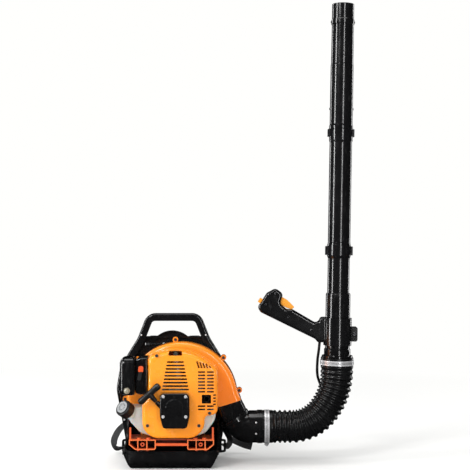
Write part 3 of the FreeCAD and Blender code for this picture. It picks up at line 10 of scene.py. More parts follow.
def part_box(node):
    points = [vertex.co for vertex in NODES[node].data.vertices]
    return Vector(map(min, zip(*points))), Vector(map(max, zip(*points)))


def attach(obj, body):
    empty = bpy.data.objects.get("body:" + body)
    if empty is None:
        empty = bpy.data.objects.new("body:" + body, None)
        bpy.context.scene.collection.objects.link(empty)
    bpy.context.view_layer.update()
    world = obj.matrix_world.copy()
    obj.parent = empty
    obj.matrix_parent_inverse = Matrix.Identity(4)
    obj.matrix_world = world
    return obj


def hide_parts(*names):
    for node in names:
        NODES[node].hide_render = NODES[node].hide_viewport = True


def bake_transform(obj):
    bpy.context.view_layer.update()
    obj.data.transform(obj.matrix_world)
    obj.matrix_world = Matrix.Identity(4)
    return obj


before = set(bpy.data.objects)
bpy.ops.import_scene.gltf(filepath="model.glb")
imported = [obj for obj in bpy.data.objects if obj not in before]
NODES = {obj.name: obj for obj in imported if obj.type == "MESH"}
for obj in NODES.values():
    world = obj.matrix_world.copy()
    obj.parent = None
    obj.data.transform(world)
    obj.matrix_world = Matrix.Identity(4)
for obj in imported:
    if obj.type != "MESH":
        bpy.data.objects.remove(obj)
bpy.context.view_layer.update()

MM = 0.001

# The air duct, cable, rope and filler neck, as the CAD part has them, in millimetres
DUCT_Y = 15.0
SEAM = (184.5, 15.0, 124.6)
BEND_RADIUS = 47.0
HOSE_Z = SEAM[2] + 0.537 * BEND_RADIUS / math.hypot(0.843, 0.537) - BEND_RADIUS
HOSE_START = 262.5
HOSE_STRAIGHT_END = 347.0
HOSE_BENDS = ((120.0, 50.0), (180.0, 22.0), (190.0, 17.0))
HOSE_END_RUN = 30.0
HOSE_CUFF_END = 14.0
HOSE_RADIUS = 47.6
CLAMP_BAND = 1.2
CABLE_RADIUS = 4.0
ROPE_RADIUS = 1.75
WAND_TILT = math.radians(1.0)
ROPE_AXIS = Vector((-0.67, 0, 0.7424)).normalized()
NECK_AXIS = Vector((-0.53, -0.67, 0.53)).normalized()
NECK_ROOT = Vector((-108, -89, 154))

# The hose's ribs and walls, and the stretch of it that bends, in millimetres
RIB_PITCH = 14.7
RIB_DEPTH = 5.2
END_RIB_DEPTH = 2.7
FIRST_RIB = 30.0
LAST_RIB_TO_CUFF = 9.0
SHALLOW_RUN = 30
THIN_CUFF_RUN = 24
HOSE_WALL = 2.1
CUFF_WALL = 1.6


def mm(x, y, z):
    return Vector((x, y, z)) * MM


# ---------------------------------------------------------------- materials

class Finish:
    """A procedural material, with short calls for the nodes that the finishes share."""

    def __init__(self, name, **sockets):
        self.material = bpy.data.materials.new(name)
        self.material.use_nodes = True
        self.tree = self.material.node_tree
        self.shader = self.tree.nodes["Principled BSDF"]
        self.place = self.node("ShaderNodeTexCoord").outputs["Object"]
        for socket, value in sockets.items():
            self.shader.inputs[socket.replace("_", " ")].default_value = value

    def node(self, kind, **settings):
        node = self.tree.nodes.new(kind)
        for key, value in settings.items():
            setattr(node, key, value)
        return node

    def feed(self, value, socket):
        if isinstance(value, bpy.types.NodeSocket):
            self.tree.links.new(value, socket)
        else:
            socket.default_value = value

    def noise(self, scale, detail=3.0, stretch=(1, 1, 1)):
        mapping = self.node("ShaderNodeMapping")
        mapping.inputs["Scale"].default_value = stretch
        self.feed(self.place, mapping.inputs["Vector"])
        noise = self.node("ShaderNodeTexNoise")
        noise.inputs["Scale"].default_value = scale
        noise.inputs["Detail"].default_value = detail
        self.feed(mapping.outputs["Vector"], noise.inputs["Vector"])
        return noise.outputs["Fac"]

    def calc(self, operation, first, second=0.0):
        node = self.node("ShaderNodeMath", operation=operation)
        self.feed(first, node.inputs[0])
        self.feed(second, node.inputs[1])
        return node.outputs[0]

    def span(self, value, low, high, to_low=0.0, to_high=1.0):
        node = self.node("ShaderNodeMapRange")
        for index, number in enumerate((value, low, high, to_low, to_high)):
            self.feed(number, node.inputs[index])
        return node.outputs[0]

    def mix(self, share, first, second):
        node = self.node("ShaderNodeMix", data_type="RGBA")
        self.feed(share, node.inputs[0])
        self.feed(colour4(first), node.inputs[6])
        self.feed(colour4(second), node.inputs[7])
        return node.outputs[2]

    def axis(self, direction):
        """The distance in metres along a direction from the origin."""
        dot = self.node("ShaderNodeVectorMath", operation="DOT_PRODUCT")
        self.feed(self.place, dot.inputs[0])
        dot.inputs[1].default_value = direction
        return dot.outputs["Value"]

    def edges(self, radius):
        """1 along sharp edges and 0 on flat ground."""
        bevel = self.node("ShaderNodeBevel", samples=4)
        bevel.inputs["Radius"].default_value = radius
        normal = self.node("ShaderNodeNewGeometry").outputs["Normal"]
        dot = self.node("ShaderNodeVectorMath", operation="DOT_PRODUCT")
        self.feed(bevel.outputs[0], dot.inputs[0])
        self.feed(normal, dot.inputs[1])
        return self.span(dot.outputs["Value"], 0.999, 0.9)

    def bump(self, height, strength, distance):
        node = self.node("ShaderNodeBump")
        node.inputs["Strength"].default_value = strength
        node.inputs["Distance"].default_value = distance
        self.feed(height, node.inputs["Height"])
        self.feed(node.outputs[0], self.shader.inputs["Normal"])

    def paint(self, colour, roughness=None):
        self.feed(colour, self.shader.inputs["Base Color"])
        if roughness is not None:
            self.feed(roughness, self.shader.inputs["Roughness"])


def colour4(colour):
    return (*colour, 1.0) if isinstance(colour, tuple) and len(colour) == 3 else colour


def shade(colour, factor):
    return tuple(channel * factor for channel in colour)


def moulded(name, colour, gloss, edge_wear_and_highlight=0.5, grain=0.25, coat=0.0):
    """Moulded plastic: soft tone drift, fine grain, faint scuffs, and edges lightened partly as rubbing wear
    and partly as painted highlight.
    """
    finish = Finish(name, Coat_Weight=coat, Coat_Roughness=0.08)
    drift = finish.mix(finish.span(finish.noise(14, 4), 0.35, 0.65), shade(colour, 0.86), shade(colour, 1.08))
    scuffs = finish.span(finish.noise(120, 8, (1, 1, 0.3)), 0.58, 0.72)
    surface_tone = finish.mix(finish.calc("MULTIPLY", scuffs, 0.2), drift, tuple(0.9 * c + 0.04 for c in colour))
    # Edges lightened, partly rubbing wear and partly painted highlight along the edges.
    rubbed_and_highlit_edges = finish.calc("MULTIPLY", finish.edges(0.0009), edge_wear_and_highlight)
    surface_tone = finish.mix(rubbed_and_highlit_edges, surface_tone, tuple(0.95 * c + 0.035 for c in colour))
    rough = finish.span(finish.noise(34, 5), 0.3, 0.7, gloss * 0.8, gloss * 1.25)
    finish.paint(surface_tone, finish.calc("ADD", rough, finish.calc("MULTIPLY", scuffs, 0.06)))
    finish.bump(finish.noise(1400, 2), grain, 0.00006)
    return finish.material


def engine_orange(name, colour, shaded_colour):
    """The cover's orange, darkened by painted shade towards the outlet side and low down, with edges
    lightened partly as wear and partly as painted highlight.
    """
    finish = Finish(name, Coat_Weight=0.5, Coat_Roughness=0.06)
    # Painted shade: the orange darkens towards the outlet side and low down, away from the light.
    side = finish.span(finish.axis((0.8, 0, -0.35)), -0.05, 0.09)
    tone = finish.mix(side, colour, shaded_colour)
    drift = finish.mix(finish.span(finish.noise(18, 4), 0.35, 0.65, 0.0, 0.16), tone, shade(shaded_colour, 0.75))
    # Edges lightened, partly rubbing wear and partly painted highlight.
    rubbed_and_highlit_edges = finish.calc("MULTIPLY", finish.edges(0.0009), 0.35)
    surface_tone = finish.mix(rubbed_and_highlit_edges, drift, (1.0, 0.55, 0.22))
    finish.paint(surface_tone, finish.span(finish.noise(40, 5), 0.3, 0.7, 0.2, 0.32))
    finish.bump(finish.noise(1300, 2), 0.2, 0.00006)
    return finish.material


def stand_plastic():
    """Red-orange ribs whose cells darken with depth as painted shade, with the front lip lightened as painted
    highlight.
    """
    finish = Finish("stand_red_orange", Coat_Weight=0.15, Coat_Roughness=0.15)
    # Painted shade: red-orange at the front, near black deeper into the cells.
    depth = finish.span(finish.axis((0, 1, 0)), -0.1165, -0.092)
    tone = finish.mix(depth, (0.80, 0.115, 0.02), (0.11, 0.009, 0.006))
    # Painted highlight: the front lip is lightened.
    lip = finish.span(finish.axis((0, 1, 0)), -0.1170, -0.1177)
    tone = finish.mix(finish.calc("MULTIPLY", lip, 0.55), tone, (0.95, 0.25, 0.06))
    drift = finish.mix(finish.span(finish.noise(30, 4), 0.3, 0.7, 0.0, 0.3), tone, (0.30, 0.03, 0.01))
    finish.paint(drift, finish.span(finish.noise(60, 5), 0.3, 0.7, 0.28, 0.45))
    finish.bump(finish.noise(1200, 2), 0.25, 0.00008)
    return finish.material


def tank_plastic():
    """Milky polyethylene: cloudy, slightly ribbed by the blow mould."""
    finish = Finish("tank_milky", Subsurface_Weight=0.5, Subsurface_Scale=0.012, Coat_Weight=0.25)
    cloud = finish.mix(finish.span(finish.noise(22, 5), 0.3, 0.7), (0.42, 0.43, 0.41), (0.62, 0.63, 0.60))
    level = finish.span(finish.axis((0, 0, 1)), 0.118, 0.122, 0.16, 0.0)
    finish.paint(finish.mix(level, cloud, (0.62, 0.50, 0.30)),
                 finish.span(finish.noise(50, 4), 0.3, 0.7, 0.30, 0.44))
    finish.bump(finish.noise(260, 3), 0.3, 0.0002)
    return finish.material


def metal(name, colour, rough, grain_scale, stretch=(1, 1, 1), grain=0.3, metallic=1.0):
    """Bare metal with a cast or brushed grain, and edges lightened partly as wear and partly as painted
    highlight.
    """
    finish = Finish(name, Metallic=metallic)
    tone = finish.mix(finish.span(finish.noise(24, 5), 0.3, 0.7), shade(colour, 0.78), colour)
    # Edges lightened to pale grey, partly rubbing wear and partly painted highlight.
    tone = finish.mix(finish.calc("MULTIPLY", finish.edges(0.0007), 0.35), tone, (0.92, 0.92, 0.93))
    finish.paint(tone, finish.span(finish.noise(grain_scale, 4, stretch), 0.3, 0.7, rough * 0.7, rough * 1.3))
    finish.bump(finish.noise(grain_scale * 1.7, 3, stretch), grain, 0.00012)
    return finish.material


def muffler_metal():
    """Pressed steel with heat tints, and painted shade that makes it near black low on its face round the
    outlet.
    """
    finish = Finish("muffler_pressed", Metallic=1.0)
    tone = finish.mix(finish.span(finish.noise(24, 5), 0.3, 0.7), (0.48, 0.47, 0.44), (0.62, 0.60, 0.57))
    tone = finish.mix(finish.span(finish.noise(11, 3), 0.45, 0.75, 0.0, 0.7), tone, (0.42, 0.30, 0.20))
    # Painted shade: near black low on the face round the outlet.
    low_painted_shade = finish.span(finish.axis((0, 0, 1)), 0.221, 0.213)
    finish.paint(finish.mix(finish.calc("MULTIPLY", low_painted_shade, 0.93), tone, (0.03, 0.028, 0.026)),
                 finish.span(finish.noise(240, 4), 0.3, 0.7, 0.26, 0.5))
    finish.bump(finish.noise(400, 3), 0.3, 0.00012)
    return finish.material


def rubber(name, colour, rough):
    """Rubber with a dusty bloom in patches and a fine pebbled skin."""
    finish = Finish(name)
    bloom = finish.span(finish.noise(26, 6), 0.45, 0.8, 0.0, 0.5)
    finish.paint(finish.mix(bloom, colour, tuple(c + 0.007 for c in colour)),
                 finish.span(finish.noise(70, 5), 0.3, 0.7, rough * 0.8, rough * 1.25))
    finish.bump(finish.noise(1700, 2), 0.3, 0.00008)
    return finish.material


def weave(finish, first, second, pitch, depth):
    """Threads that cross at a pitch, from two coordinates in metres; returns the height."""
    turns = 2 * math.pi / pitch
    warp = finish.calc("SINE", finish.calc("MULTIPLY", first, turns))
    weft = finish.calc("SINE", finish.calc("MULTIPLY", second, turns))
    height = finish.span(finish.calc("MULTIPLY", warp, weft), -1.0, 1.0)
    finish.bump(height, 0.55, depth)
    return height


def padded_cloth(name, colour, pitch):
    """Coarse woven nylon over foam, with painted shade between the threads and lighter where the threads
    stand up.
    """
    finish = Finish(name, Sheen_Weight=0.12, Sheen_Roughness=0.5)
    height = weave(finish, finish.axis((1, 0, 0)), finish.axis((0, 0.35, 0.94)), pitch, 0.0005)
    # Painted shade and light by thread height: dark between the threads, lighter on their tops.
    tone = finish.mix(height, shade(colour, 0.45), shade(colour, 1.5))
    surface_tone = finish.mix(finish.span(finish.noise(20, 5), 0.4, 0.8, 0.0, 0.35), tone, (0.045, 0.045, 0.047))
    finish.paint(surface_tone, finish.span(height, 0.0, 1.0, 0.9, 0.7))
    return finish.material


def webbing_cloth():
    """Nylon webbing: ribs across its run, from the strip's own coordinates."""
    finish = Finish("webbing_nylon")
    run = finish.node("ShaderNodeAttribute", attribute_name="run").outputs["Fac"]
    side = finish.node("ShaderNodeAttribute", attribute_name="side").outputs["Fac"]
    height = weave(finish, finish.calc("ADD", run, side), finish.calc("SUBTRACT", run, side), 0.0026, 0.0004)
    # Painted shade by thread height: dark between the threads, lighter on their tops.
    tone = finish.mix(height, (0.004, 0.004, 0.0045), (0.017, 0.017, 0.018))
    dust = finish.span(finish.noise(60, 4), 0.4, 0.8, 0.0, 0.4)
    finish.paint(finish.mix(dust, tone, (0.022, 0.022, 0.023)),
                 finish.span(height, 0.0, 1.0, 0.62, 0.42))
    return finish.material


def rope_cloth():
    """Braided cord: two helices of strands crossing."""
    finish = Finish("rope_braid")
    along = finish.axis(ROPE_AXIS)
    height = weave(finish, finish.calc("ADD", along, finish.axis((0, 1, 0))),
                   finish.calc("SUBTRACT", along, finish.axis((0, 1, 0))), 0.0022, 0.0005)
    # Painted shade by strand height: dark between the strands, lighter on their tops.
    finish.paint(finish.mix(height, (0.01, 0.01, 0.01), (0.12, 0.12, 0.12)), 0.8)
    return finish.material


def foam():
    finish = Finish("filter_foam", Sheen_Weight=0.2)
    cells = finish.node("ShaderNodeTexVoronoi")
    cells.inputs["Scale"].default_value = 900
    finish.feed(finish.place, cells.inputs["Vector"])
    # Painted shade in the pores: dark at the cell middles, lighter on the walls between.
    finish.paint(finish.mix(cells.outputs["Distance"], (0.02, 0.02, 0.022), (0.10, 0.10, 0.105)), 0.9)
    finish.bump(cells.outputs["Distance"], 0.6, 0.0006)
    return finish.material


def two_tone(name, low_colour, high_colour, height, gloss):
    """One piece in two colours, split at a height in metres."""
    finish = Finish(name, Coat_Weight=0.2)
    above = finish.span(finish.axis((0, 0, 1)), height - 0.0004, height + 0.0004)
    tone = finish.mix(above, low_colour, high_colour)
    drift = finish.mix(finish.span(finish.noise(90, 4), 0.35, 0.7, 0.0, 0.25), tone, (0.02, 0.02, 0.02))
    finish.paint(drift, finish.span(finish.noise(70, 4), 0.3, 0.7, gloss * 0.8, gloss * 1.2))
    finish.bump(finish.noise(1100, 2), 0.25, 0.00008)
    return finish.material


def case_screw_steel():
    """Zinc screws on the starter, blacked ones on the cover and the fan casing."""
    finish = Finish("case_screw_steel", Metallic=0.45, Roughness=0.34)
    spoke = finish.node("ShaderNodeVectorMath", operation="SUBTRACT")
    finish.feed(finish.place, spoke.inputs[0])
    spoke.inputs[1].default_value = (0.015, -0.150, 0.180)
    reach = finish.node("ShaderNodeVectorMath", operation="LENGTH")
    finish.feed(spoke.outputs[0], reach.inputs[0])
    near = finish.span(reach.outputs["Value"], 0.062, 0.060)
    grain = finish.span(finish.noise(500, 4), 0.3, 0.7)
    finish.paint(finish.mix(near, finish.mix(grain, (0.05, 0.05, 0.052), (0.09, 0.09, 0.095)),
                            finish.mix(grain, (0.66, 0.66, 0.67), (0.84, 0.84, 0.85))))
    finish.bump(finish.noise(800, 3), 0.25, 0.0001)
    return finish.material


def clear_rubber():
    """The primer bulb's thin smoky skin."""
    finish = Finish("primer_clear", Transmission_Weight=0.55, IOR=1.42)
    cloud = finish.span(finish.noise(200, 4), 0.3, 0.7)
    finish.paint(finish.mix(cloud, (0.42, 0.38, 0.28), (0.62, 0.58, 0.46)),
                 finish.span(finish.noise(120, 3), 0.3, 0.7, 0.14, 0.28))
    finish.bump(finish.noise(600, 2), 0.15, 0.0001)
    return finish.material


BLACK = (0.0055, 0.0055, 0.006)
gloss_black = moulded("tube_black", BLACK, 0.17, edge_wear_and_highlight=0.15, grain=0.05, coat=0.35)
satin_black = moulded("housing_black", BLACK, 0.25, edge_wear_and_highlight=0.25, grain=0.25, coat=0.1)
frame_black = moulded("frame_black", BLACK, 0.19, edge_wear_and_highlight=0.3, grain=0.2, coat=0.35)
cap_black = moulded("cap_black", (0.009, 0.009, 0.0095), 0.34, edge_wear_and_highlight=0.5, grain=0.5)
cap_grey = moulded("cap_light_grey", (0.36, 0.37, 0.38), 0.34, edge_wear_and_highlight=0.1, grain=0.3)
cover_orange = engine_orange("cover_orange", (0.97, 0.315, 0.015), (0.96, 0.265, 0.013))
volute_orange = engine_orange("volute_orange", (0.96, 0.285, 0.014), (0.94, 0.215, 0.011))
small_orange = moulded("control_orange", (0.97, 0.37, 0.02), 0.26, edge_wear_and_highlight=0.3, grain=0.4, coat=0.3)
cast_aluminium = metal("cast_aluminium", (0.62, 0.63, 0.64), 0.42, 420, grain=0.6)
machined_steel = metal("machined_steel", (0.58, 0.58, 0.59), 0.28, 300, (1, 6, 1))
screw_steel = metal("screw_zinc", (0.84, 0.84, 0.85), 0.34, 500, metallic=0.45)
screw_black = metal("screw_blacked", (0.06, 0.06, 0.065), 0.34, 500)
muffler_steel = muffler_metal()
clamp_steel = metal("clamp_bright", (0.86, 0.86, 0.88), 0.30, 350, (1, 1, 8), grain=0.15, metallic=0.55)
hose_rubber = rubber("hose_rubber", (0.005, 0.005, 0.0055), 0.27)
soft_rubber = rubber("soft_rubber", (0.016, 0.016, 0.017), 0.6)
cable_rubber = rubber("cable_sheath", (0.006, 0.006, 0.0065), 0.34)
pad_cloth = padded_cloth("pad_mesh", (0.030, 0.030, 0.032), 0.0034)
strap_cloth = padded_cloth("strap_nylon", (0.024, 0.024, 0.026), 0.0022)
webbing = webbing_cloth()
thread = rubber("stitch_thread", (0.085, 0.085, 0.088), 0.7)
rope = rope_cloth()
coil_black = moulded("coil_potting", (0.02, 0.021, 0.024), 0.45, edge_wear_and_highlight=0.3, grain=1.0)
plug_finish = two_tone("plug_boot", (0.55, 0.55, 0.56), (0.045, 0.058, 0.048), 0.312, 0.45)
choke_finish = two_tone("choke_knob", (0.016, 0.016, 0.017), (0.72, 0.085, 0.012), 0.281, 0.32)

SURFACES = {
    "backpack_frame": frame_black, "strap_hardware": satin_black, "vibration_mounts": soft_rubber,
    "engine_stand": stand_plastic(), "fan_case_front": volute_orange, "fan_case_rear": satin_black,
    "case_screws": case_screw_steel(), "intake_grille": satin_black, "crankcase_front": cast_aluminium,
    "crankcase_rear": cast_aluminium, "main_bearings": machined_steel, "cylinder": cast_aluminium,
    "ignition_coil": coil_black, "spark_plug": plug_finish, "carburetor_body": cast_aluminium,
    "air_cleaner_case": satin_black, "air_cleaner_cover": gloss_black, "air_filter_element": foam(),
    "carburetor_cover": gloss_black, "muffler": muffler_steel, "engine_cover": cover_orange,
    "recoil_housing": gloss_black, "recoil_spring": machined_steel, "fuel_tank": tank_plastic(),
    "outlet_elbow": satin_black, "crankshaft": machined_steel, "flywheel": cast_aluminium,
    "impeller": cap_black, "piston": cast_aluminium, "piston_pin_and_rings": machined_steel,
    "connecting_rod": machined_steel, "throttle_shaft": machined_steel, "choke_lever": choke_finish,
    "primer_bulb": clear_rubber(), "recoil_pulley": cap_black, "starter_handle": cap_black,
    "cap_seal": soft_rubber, "fuel_cap": cap_black, "swivel_elbow": gloss_black,
    "hose_clamp_lower": clamp_steel, "hose_clamp_upper": clamp_steel, "swivel_tube": gloss_black,
    "lower_tube": gloss_black, "middle_tube": gloss_black, "nozzle_tube": gloss_black,
    "handle_shell_front": gloss_black, "handle_shell_rear": gloss_black,
    "handle_fasteners": screw_black, "trigger": small_orange, "stop_switch": small_orange,
    "back_pad": pad_cloth, "shoulder_strap_left": strap_cloth, "shoulder_strap_right": strap_cloth,
    "strap_webbing": webbing, "flexible_hose": hose_rubber, "starter_rope": rope,
    "throttle_cable_unit": cable_rubber, "throttle_cable_elbow": cable_rubber,
    "throttle_cable_hose": cable_rubber, "throttle_cable_wand": cable_rubber,
}


def dress(obj, material):
    obj.data.materials.clear()
    obj.data.materials.append(material)
    return obj


for node, material in SURFACES.items():
    dress(NODES[node], material)


# ---------------------------------------------------------------- mesh helpers

def add_mesh(name, vertices, faces, material, smooth=True):
    mesh = bpy.data.meshes.new(name)
    mesh.from_pydata([tuple(v) for v in vertices], [], faces)
    mesh.update()
    mesh.polygons.foreach_set("use_smooth", [smooth] * len(mesh.polygons))
    obj = bpy.data.objects.new(name, mesh)
    bpy.context.scene.collection.objects.link(obj)
    dress(obj, material)
    return obj


def basis(axis):
    """Two directions across an axis."""
    axis = Vector(axis).normalized()
    first = axis.cross(Vector((0, 1, 0)))
    if first.length < 0.2:
        first = axis.cross(Vector((1, 0, 0)))
    first.normalize()
    return first, axis.cross(first).normalized()


def lathe_data(profile, centre, axis, around):
    """Vertices and faces of a closed turned solid; the profile is (radius, height) in metres."""
    axis = Vector(axis).normalized()
    u, v = basis(axis)
    vertices = []
    for radius, height in profile:
        for index in range(around):
            angle = 2 * math.pi * index / around
            spoke = u * math.cos(angle) + v * math.sin(angle)
            vertices.append(Vector(centre) + axis * height + spoke * radius)
    faces = []
    rows = len(profile)
    for row in range(rows - 1):
        for index in range(around):
            after = (index + 1) % around
            faces.append((row * around + index, row * around + after,
                          (row + 1) * around + after, (row + 1) * around + index))
    faces.append(tuple(range(around)))
    faces.append(tuple(reversed(range((rows - 1) * around, rows * around))))
    return vertices, faces


def lathe(name, profile, centre, axis, material, around):
    vertices, faces = lathe_data(profile, centre, axis, around)
    return tidy_normals(add_mesh(name, vertices, faces, material))


def tidy_normals(obj, smooth_angle=35):
    """Joins doubled points, turns every face outwards and keeps edges over an angle sharp."""
    mesh = bmesh.new()
    mesh.from_mesh(obj.data)
    bmesh.ops.remove_doubles(mesh, verts=mesh.verts, dist=1e-7)
    bmesh.ops.recalc_face_normals(mesh, faces=mesh.faces)
    mesh.to_mesh(obj.data)
    mesh.free()
    obj.data.polygons.foreach_set("use_smooth", [True] * len(obj.data.polygons))
    obj.data.set_sharp_from_angle(angle=math.radians(smooth_angle))
    return obj


def merge(name, parts, material):
    """One piece from several (vertices, faces) lists."""
    vertices = []
    faces = []
    for part_vertices, part_faces in parts:
        start = len(vertices)
        vertices.extend(part_vertices)
        faces.extend(tuple(index + start for index in face) for face in part_faces)
    return tidy_normals(add_mesh(name, vertices, faces, material))


def block_data(centre, along, across, out, half_length, half_width, half_depth, taper=1.0):
    """A small block with a narrower outer face, for ribs, slots and stitches."""
    vertices = []
    for depth, shrink in ((-half_depth, 1.0), (half_depth, taper)):
        for u, v in ((-1, -1), (1, -1), (1, 1), (-1, 1)):
            vertices.append(centre + along * (u * half_length * shrink)
                            + across * (v * half_width * shrink) + out * depth)
    faces = [(0, 3, 2, 1), (4, 5, 6, 7), (0, 1, 5, 4), (1, 2, 6, 5), (2, 3, 7, 6), (3, 0, 4, 7)]
    return vertices, faces


def screw_data(centre, axis, radius):
    """A pan-head screw seen from outside, with a driver recess."""
    r = radius
    profile = [(r * 0.9, -0.3 * r), (r, 0), (r * 0.98, 0.18 * r), (r * 0.8, 0.42 * r), (r * 0.5, 0.52 * r),
               (r * 0.42, 0.5 * r), (r * 0.3, 0.2 * r), (r * 0.05, 0.15 * r)]
    return lathe_data(profile, centre, axis, 20)


def smooth_path(points, steps=10):
    """A Catmull-Rom line through points, each a vector of any length."""
    spots = [np.array(p, float) for p in points]
    spots = [2 * spots[0] - spots[1]] + spots + [2 * spots[-1] - spots[-2]]
    line = []
    for index in range(1, len(spots) - 2):
        a, b, c, d = spots[index - 1:index + 3]
        for step in range(steps):
            t = step / steps
            line.append(0.5 * (2 * b + (c - a) * t + (2 * a - 5 * b + 4 * c - d) * t * t
                               + (3 * b - a - 3 * c + d) * t ** 3))
    line.append(spots[-2])
    return line


def sweep_data(centres, sections):
    """A closed skin through rings; a section holds its across and out directions and its (u, v) loop."""
    count = len(sections[0][2])
    vertices = []
    for centre, (across, out, loop) in zip(centres, sections):
        vertices.extend(centre + across * u + out * v for u, v in loop)
    faces = []
    for row in range(len(centres) - 1):
        for index in range(count):
            after = (index + 1) % count
            faces.append((row * count + index, row * count + after,
                          (row + 1) * count + after, (row + 1) * count + index))
    faces.append(tuple(reversed(range(count))))
    faces.append(tuple(range((len(centres) - 1) * count, len(centres) * count)))
    return vertices, faces


# ---------------------------------------------------------------- hose

def hose_line(step=1.0):
    """Points and headings of the hose's centre line, in millimetres, about a step apart."""
    line = []
    run = HOSE_STRAIGHT_END - HOSE_START
    count = round(run / step)
    for index in range(count):
        line.append((HOSE_START + run * index / count, HOSE_Z, 0.0))
    x, z, heading = HOSE_STRAIGHT_END, HOSE_Z, 0.0
    for radius, turn in HOSE_BENDS:
        length = radius * math.radians(turn)
        count = round(length / step)
        start = math.radians(heading)
        for index in range(count):
            angle = math.radians(heading + turn * index / count)
            line.append((x + radius * (math.sin(angle) - math.sin(start)),
                         z + radius * (math.cos(start) - math.cos(angle)), angle))
        end = math.radians(heading + turn)
        x += radius * (math.sin(end) - math.sin(start))
        z += radius * (math.cos(start) - math.cos(end))
        heading += turn
    angle = math.radians(heading)
    run = HOSE_END_RUN + HOSE_CUFF_END
    count = round(run / step)
    for index in range(count + 1):
        reach = run * index / count
        line.append((x + math.cos(angle) * reach, z + math.sin(angle) * reach, angle))
    return line


def wand_place():
    """Where the wand's own axis starts: its point and its matrix, in millimetres."""
    line = hose_line()
    x, z, heading = line[-1]
    x -= math.cos(heading) * HOSE_CUFF_END
    z -= math.sin(heading) * HOSE_CUFF_END
    return Matrix.Translation((x, DUCT_Y, z)) @ Matrix.Rotation(WAND_TILT, 4, "Y")


WAND = wand_place()


def wand_spot(x, y, z):
    """A point in metres from millimetres in the wand's own frame."""
    return (WAND @ Vector((x, y, z))) * MM


def wand_way(x, y, z):
    return (WAND.to_3x3() @ Vector((x, y, z))).normalized()


def hose():
    """A corrugated rubber hose with plain cuffs, one closed skin inside and out."""
    line = hose_line(RIB_PITCH / 10)
    total = len(line)
    lengths = [0.0]
    for before, after in zip(line, line[1:]):
        lengths.append(lengths[-1] + math.hypot(after[0] - before[0], after[1] - before[1]))
    last_rib = lengths[-1] - HOSE_CUFF_END - LAST_RIB_TO_CUFF
    around = 72
    rings = []
    for inside in (False, True):
        for index in (range(total) if not inside else reversed(range(total))):
            s = lengths[index]
            x, z, heading = line[index]
            radius = HOSE_RADIUS
            if FIRST_RIB < s < last_rib:
                wave = math.sin(2 * math.pi * (s - FIRST_RIB) / RIB_PITCH - math.pi / 2)
                crest = 0.5 + 0.5 * math.tanh(2.0 * wave) / math.tanh(2.0)
                fade = min(1.0, (s - FIRST_RIB) / 6, (last_rib - s) / 6)
                deep = RIB_DEPTH if s < last_rib - SHALLOW_RUN else END_RIB_DEPTH
                radius = HOSE_RADIUS - deep * (1 - crest) * fade
            if inside:
                radius -= HOSE_WALL if FIRST_RIB < s < last_rib - THIN_CUFF_RUN else CUFF_WALL
            rings.append((x, z, heading, radius))
    vertices = []
    for x, z, heading, radius in rings:
        normal = Vector((-math.sin(heading), 0, math.cos(heading)))
        for k in range(around):
            angle = 2 * math.pi * k / around
            spoke = normal * math.cos(angle) + Vector((0, 1, 0)) * math.sin(angle)
            spot = Vector((x, DUCT_Y, z)) + spoke * radius
            vertices.append(spot * MM)
    faces = []
    count = len(rings)
    for row in range(count):
        below = (row + 1) % count
        for k in range(around):
            after = (k + 1) % around
            faces.append((row * around + k, row * around + after, below * around + after, below * around + k))
    piece = tidy_normals(add_mesh("corrugated_hose", vertices, faces, hose_rubber), 60)
    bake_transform(piece)
    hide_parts("flexible_hose")


hose()


# ---------------------------------------------------------------- cables and rope

CABLE_WAND = [(431, 15, 349.6), (429, 16, 326), (425, 20, 300), (425, 30, 276)]
CABLE_HOSE = [(425, 30, 276), (425, 40, 252), (434, 56, 226), (447, 70, 196), (444, 73, 160), (416, 73, 127),
              (372, 73, 108), (325, 73, 103), (285, 73, 103)]
CABLE_ELBOW = [(285, 73, 103), (250, 73, 103), (222, 72, 107), (203, 69, 115), (190, 67.5, 121)]
CABLE_UNIT = [(190, 67.5, 121), (177, 66, 127), (158, 62, 127), (125, 61, 112), (80, 61, 96),
              (30, 61, 90), (-20, 61, 92), (-70, 61, 104), (-112, 60, 126), (-141, 42, 152),
              (-155, 8, 180), (-152, -22, 206), (-134, -39, 234), (-108, -40, 262), (-88, -40, 283),
              (-76, -64, 290), (-65, -84, 289)]


def tube_along(name, points, radius, material):
    """A round mesh tube along one smooth spline with the points as its controls."""
    curve = bpy.data.curves.new(name, "CURVE")
    curve.dimensions = "3D"
    spline = curve.splines.new("NURBS")
    spline.points.add(len(points) - 1)
    for spot, place in zip(spline.points, points):
        spot.co = (*(Vector(place) * MM), 1)
    spline.order_u = 3
    spline.use_endpoint_u = True
    spline.resolution_u = 10
    curve.bevel_depth = radius * MM
    curve.bevel_resolution = 5
    curve.use_fill_caps = True
    shape = bpy.data.objects.new(name + "_line", curve)
    bpy.context.scene.collection.objects.link(shape)
    bpy.context.view_layer.update()
    mesh = bpy.data.meshes.new_from_object(shape.evaluated_get(bpy.context.evaluated_depsgraph_get()))
    bpy.data.objects.remove(shape)
    piece = bpy.data.objects.new(name, mesh)
    bpy.context.scene.collection.objects.link(piece)
    return tidy_normals(dress(piece, material), 40)


def cables():
    for name, points, node in (("cable_on_wand", CABLE_WAND, "throttle_cable_wand"),
                               ("cable_on_hose", CABLE_HOSE, "throttle_cable_hose"),
                               ("cable_at_swivel", CABLE_ELBOW, "throttle_cable_elbow"),
                               ("cable_on_unit", CABLE_UNIT, "throttle_cable_unit")):
        piece = tube_along(name, points, CABLE_RADIUS, cable_rubber)
        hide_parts(node)
        if node == "throttle_cable_wand":
            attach(piece, "wand")
        elif node == "throttle_cable_unit":
            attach(piece, "unit")
        elif node == "throttle_cable_hose":
            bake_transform(piece)
        else:
            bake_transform(piece)


cables()


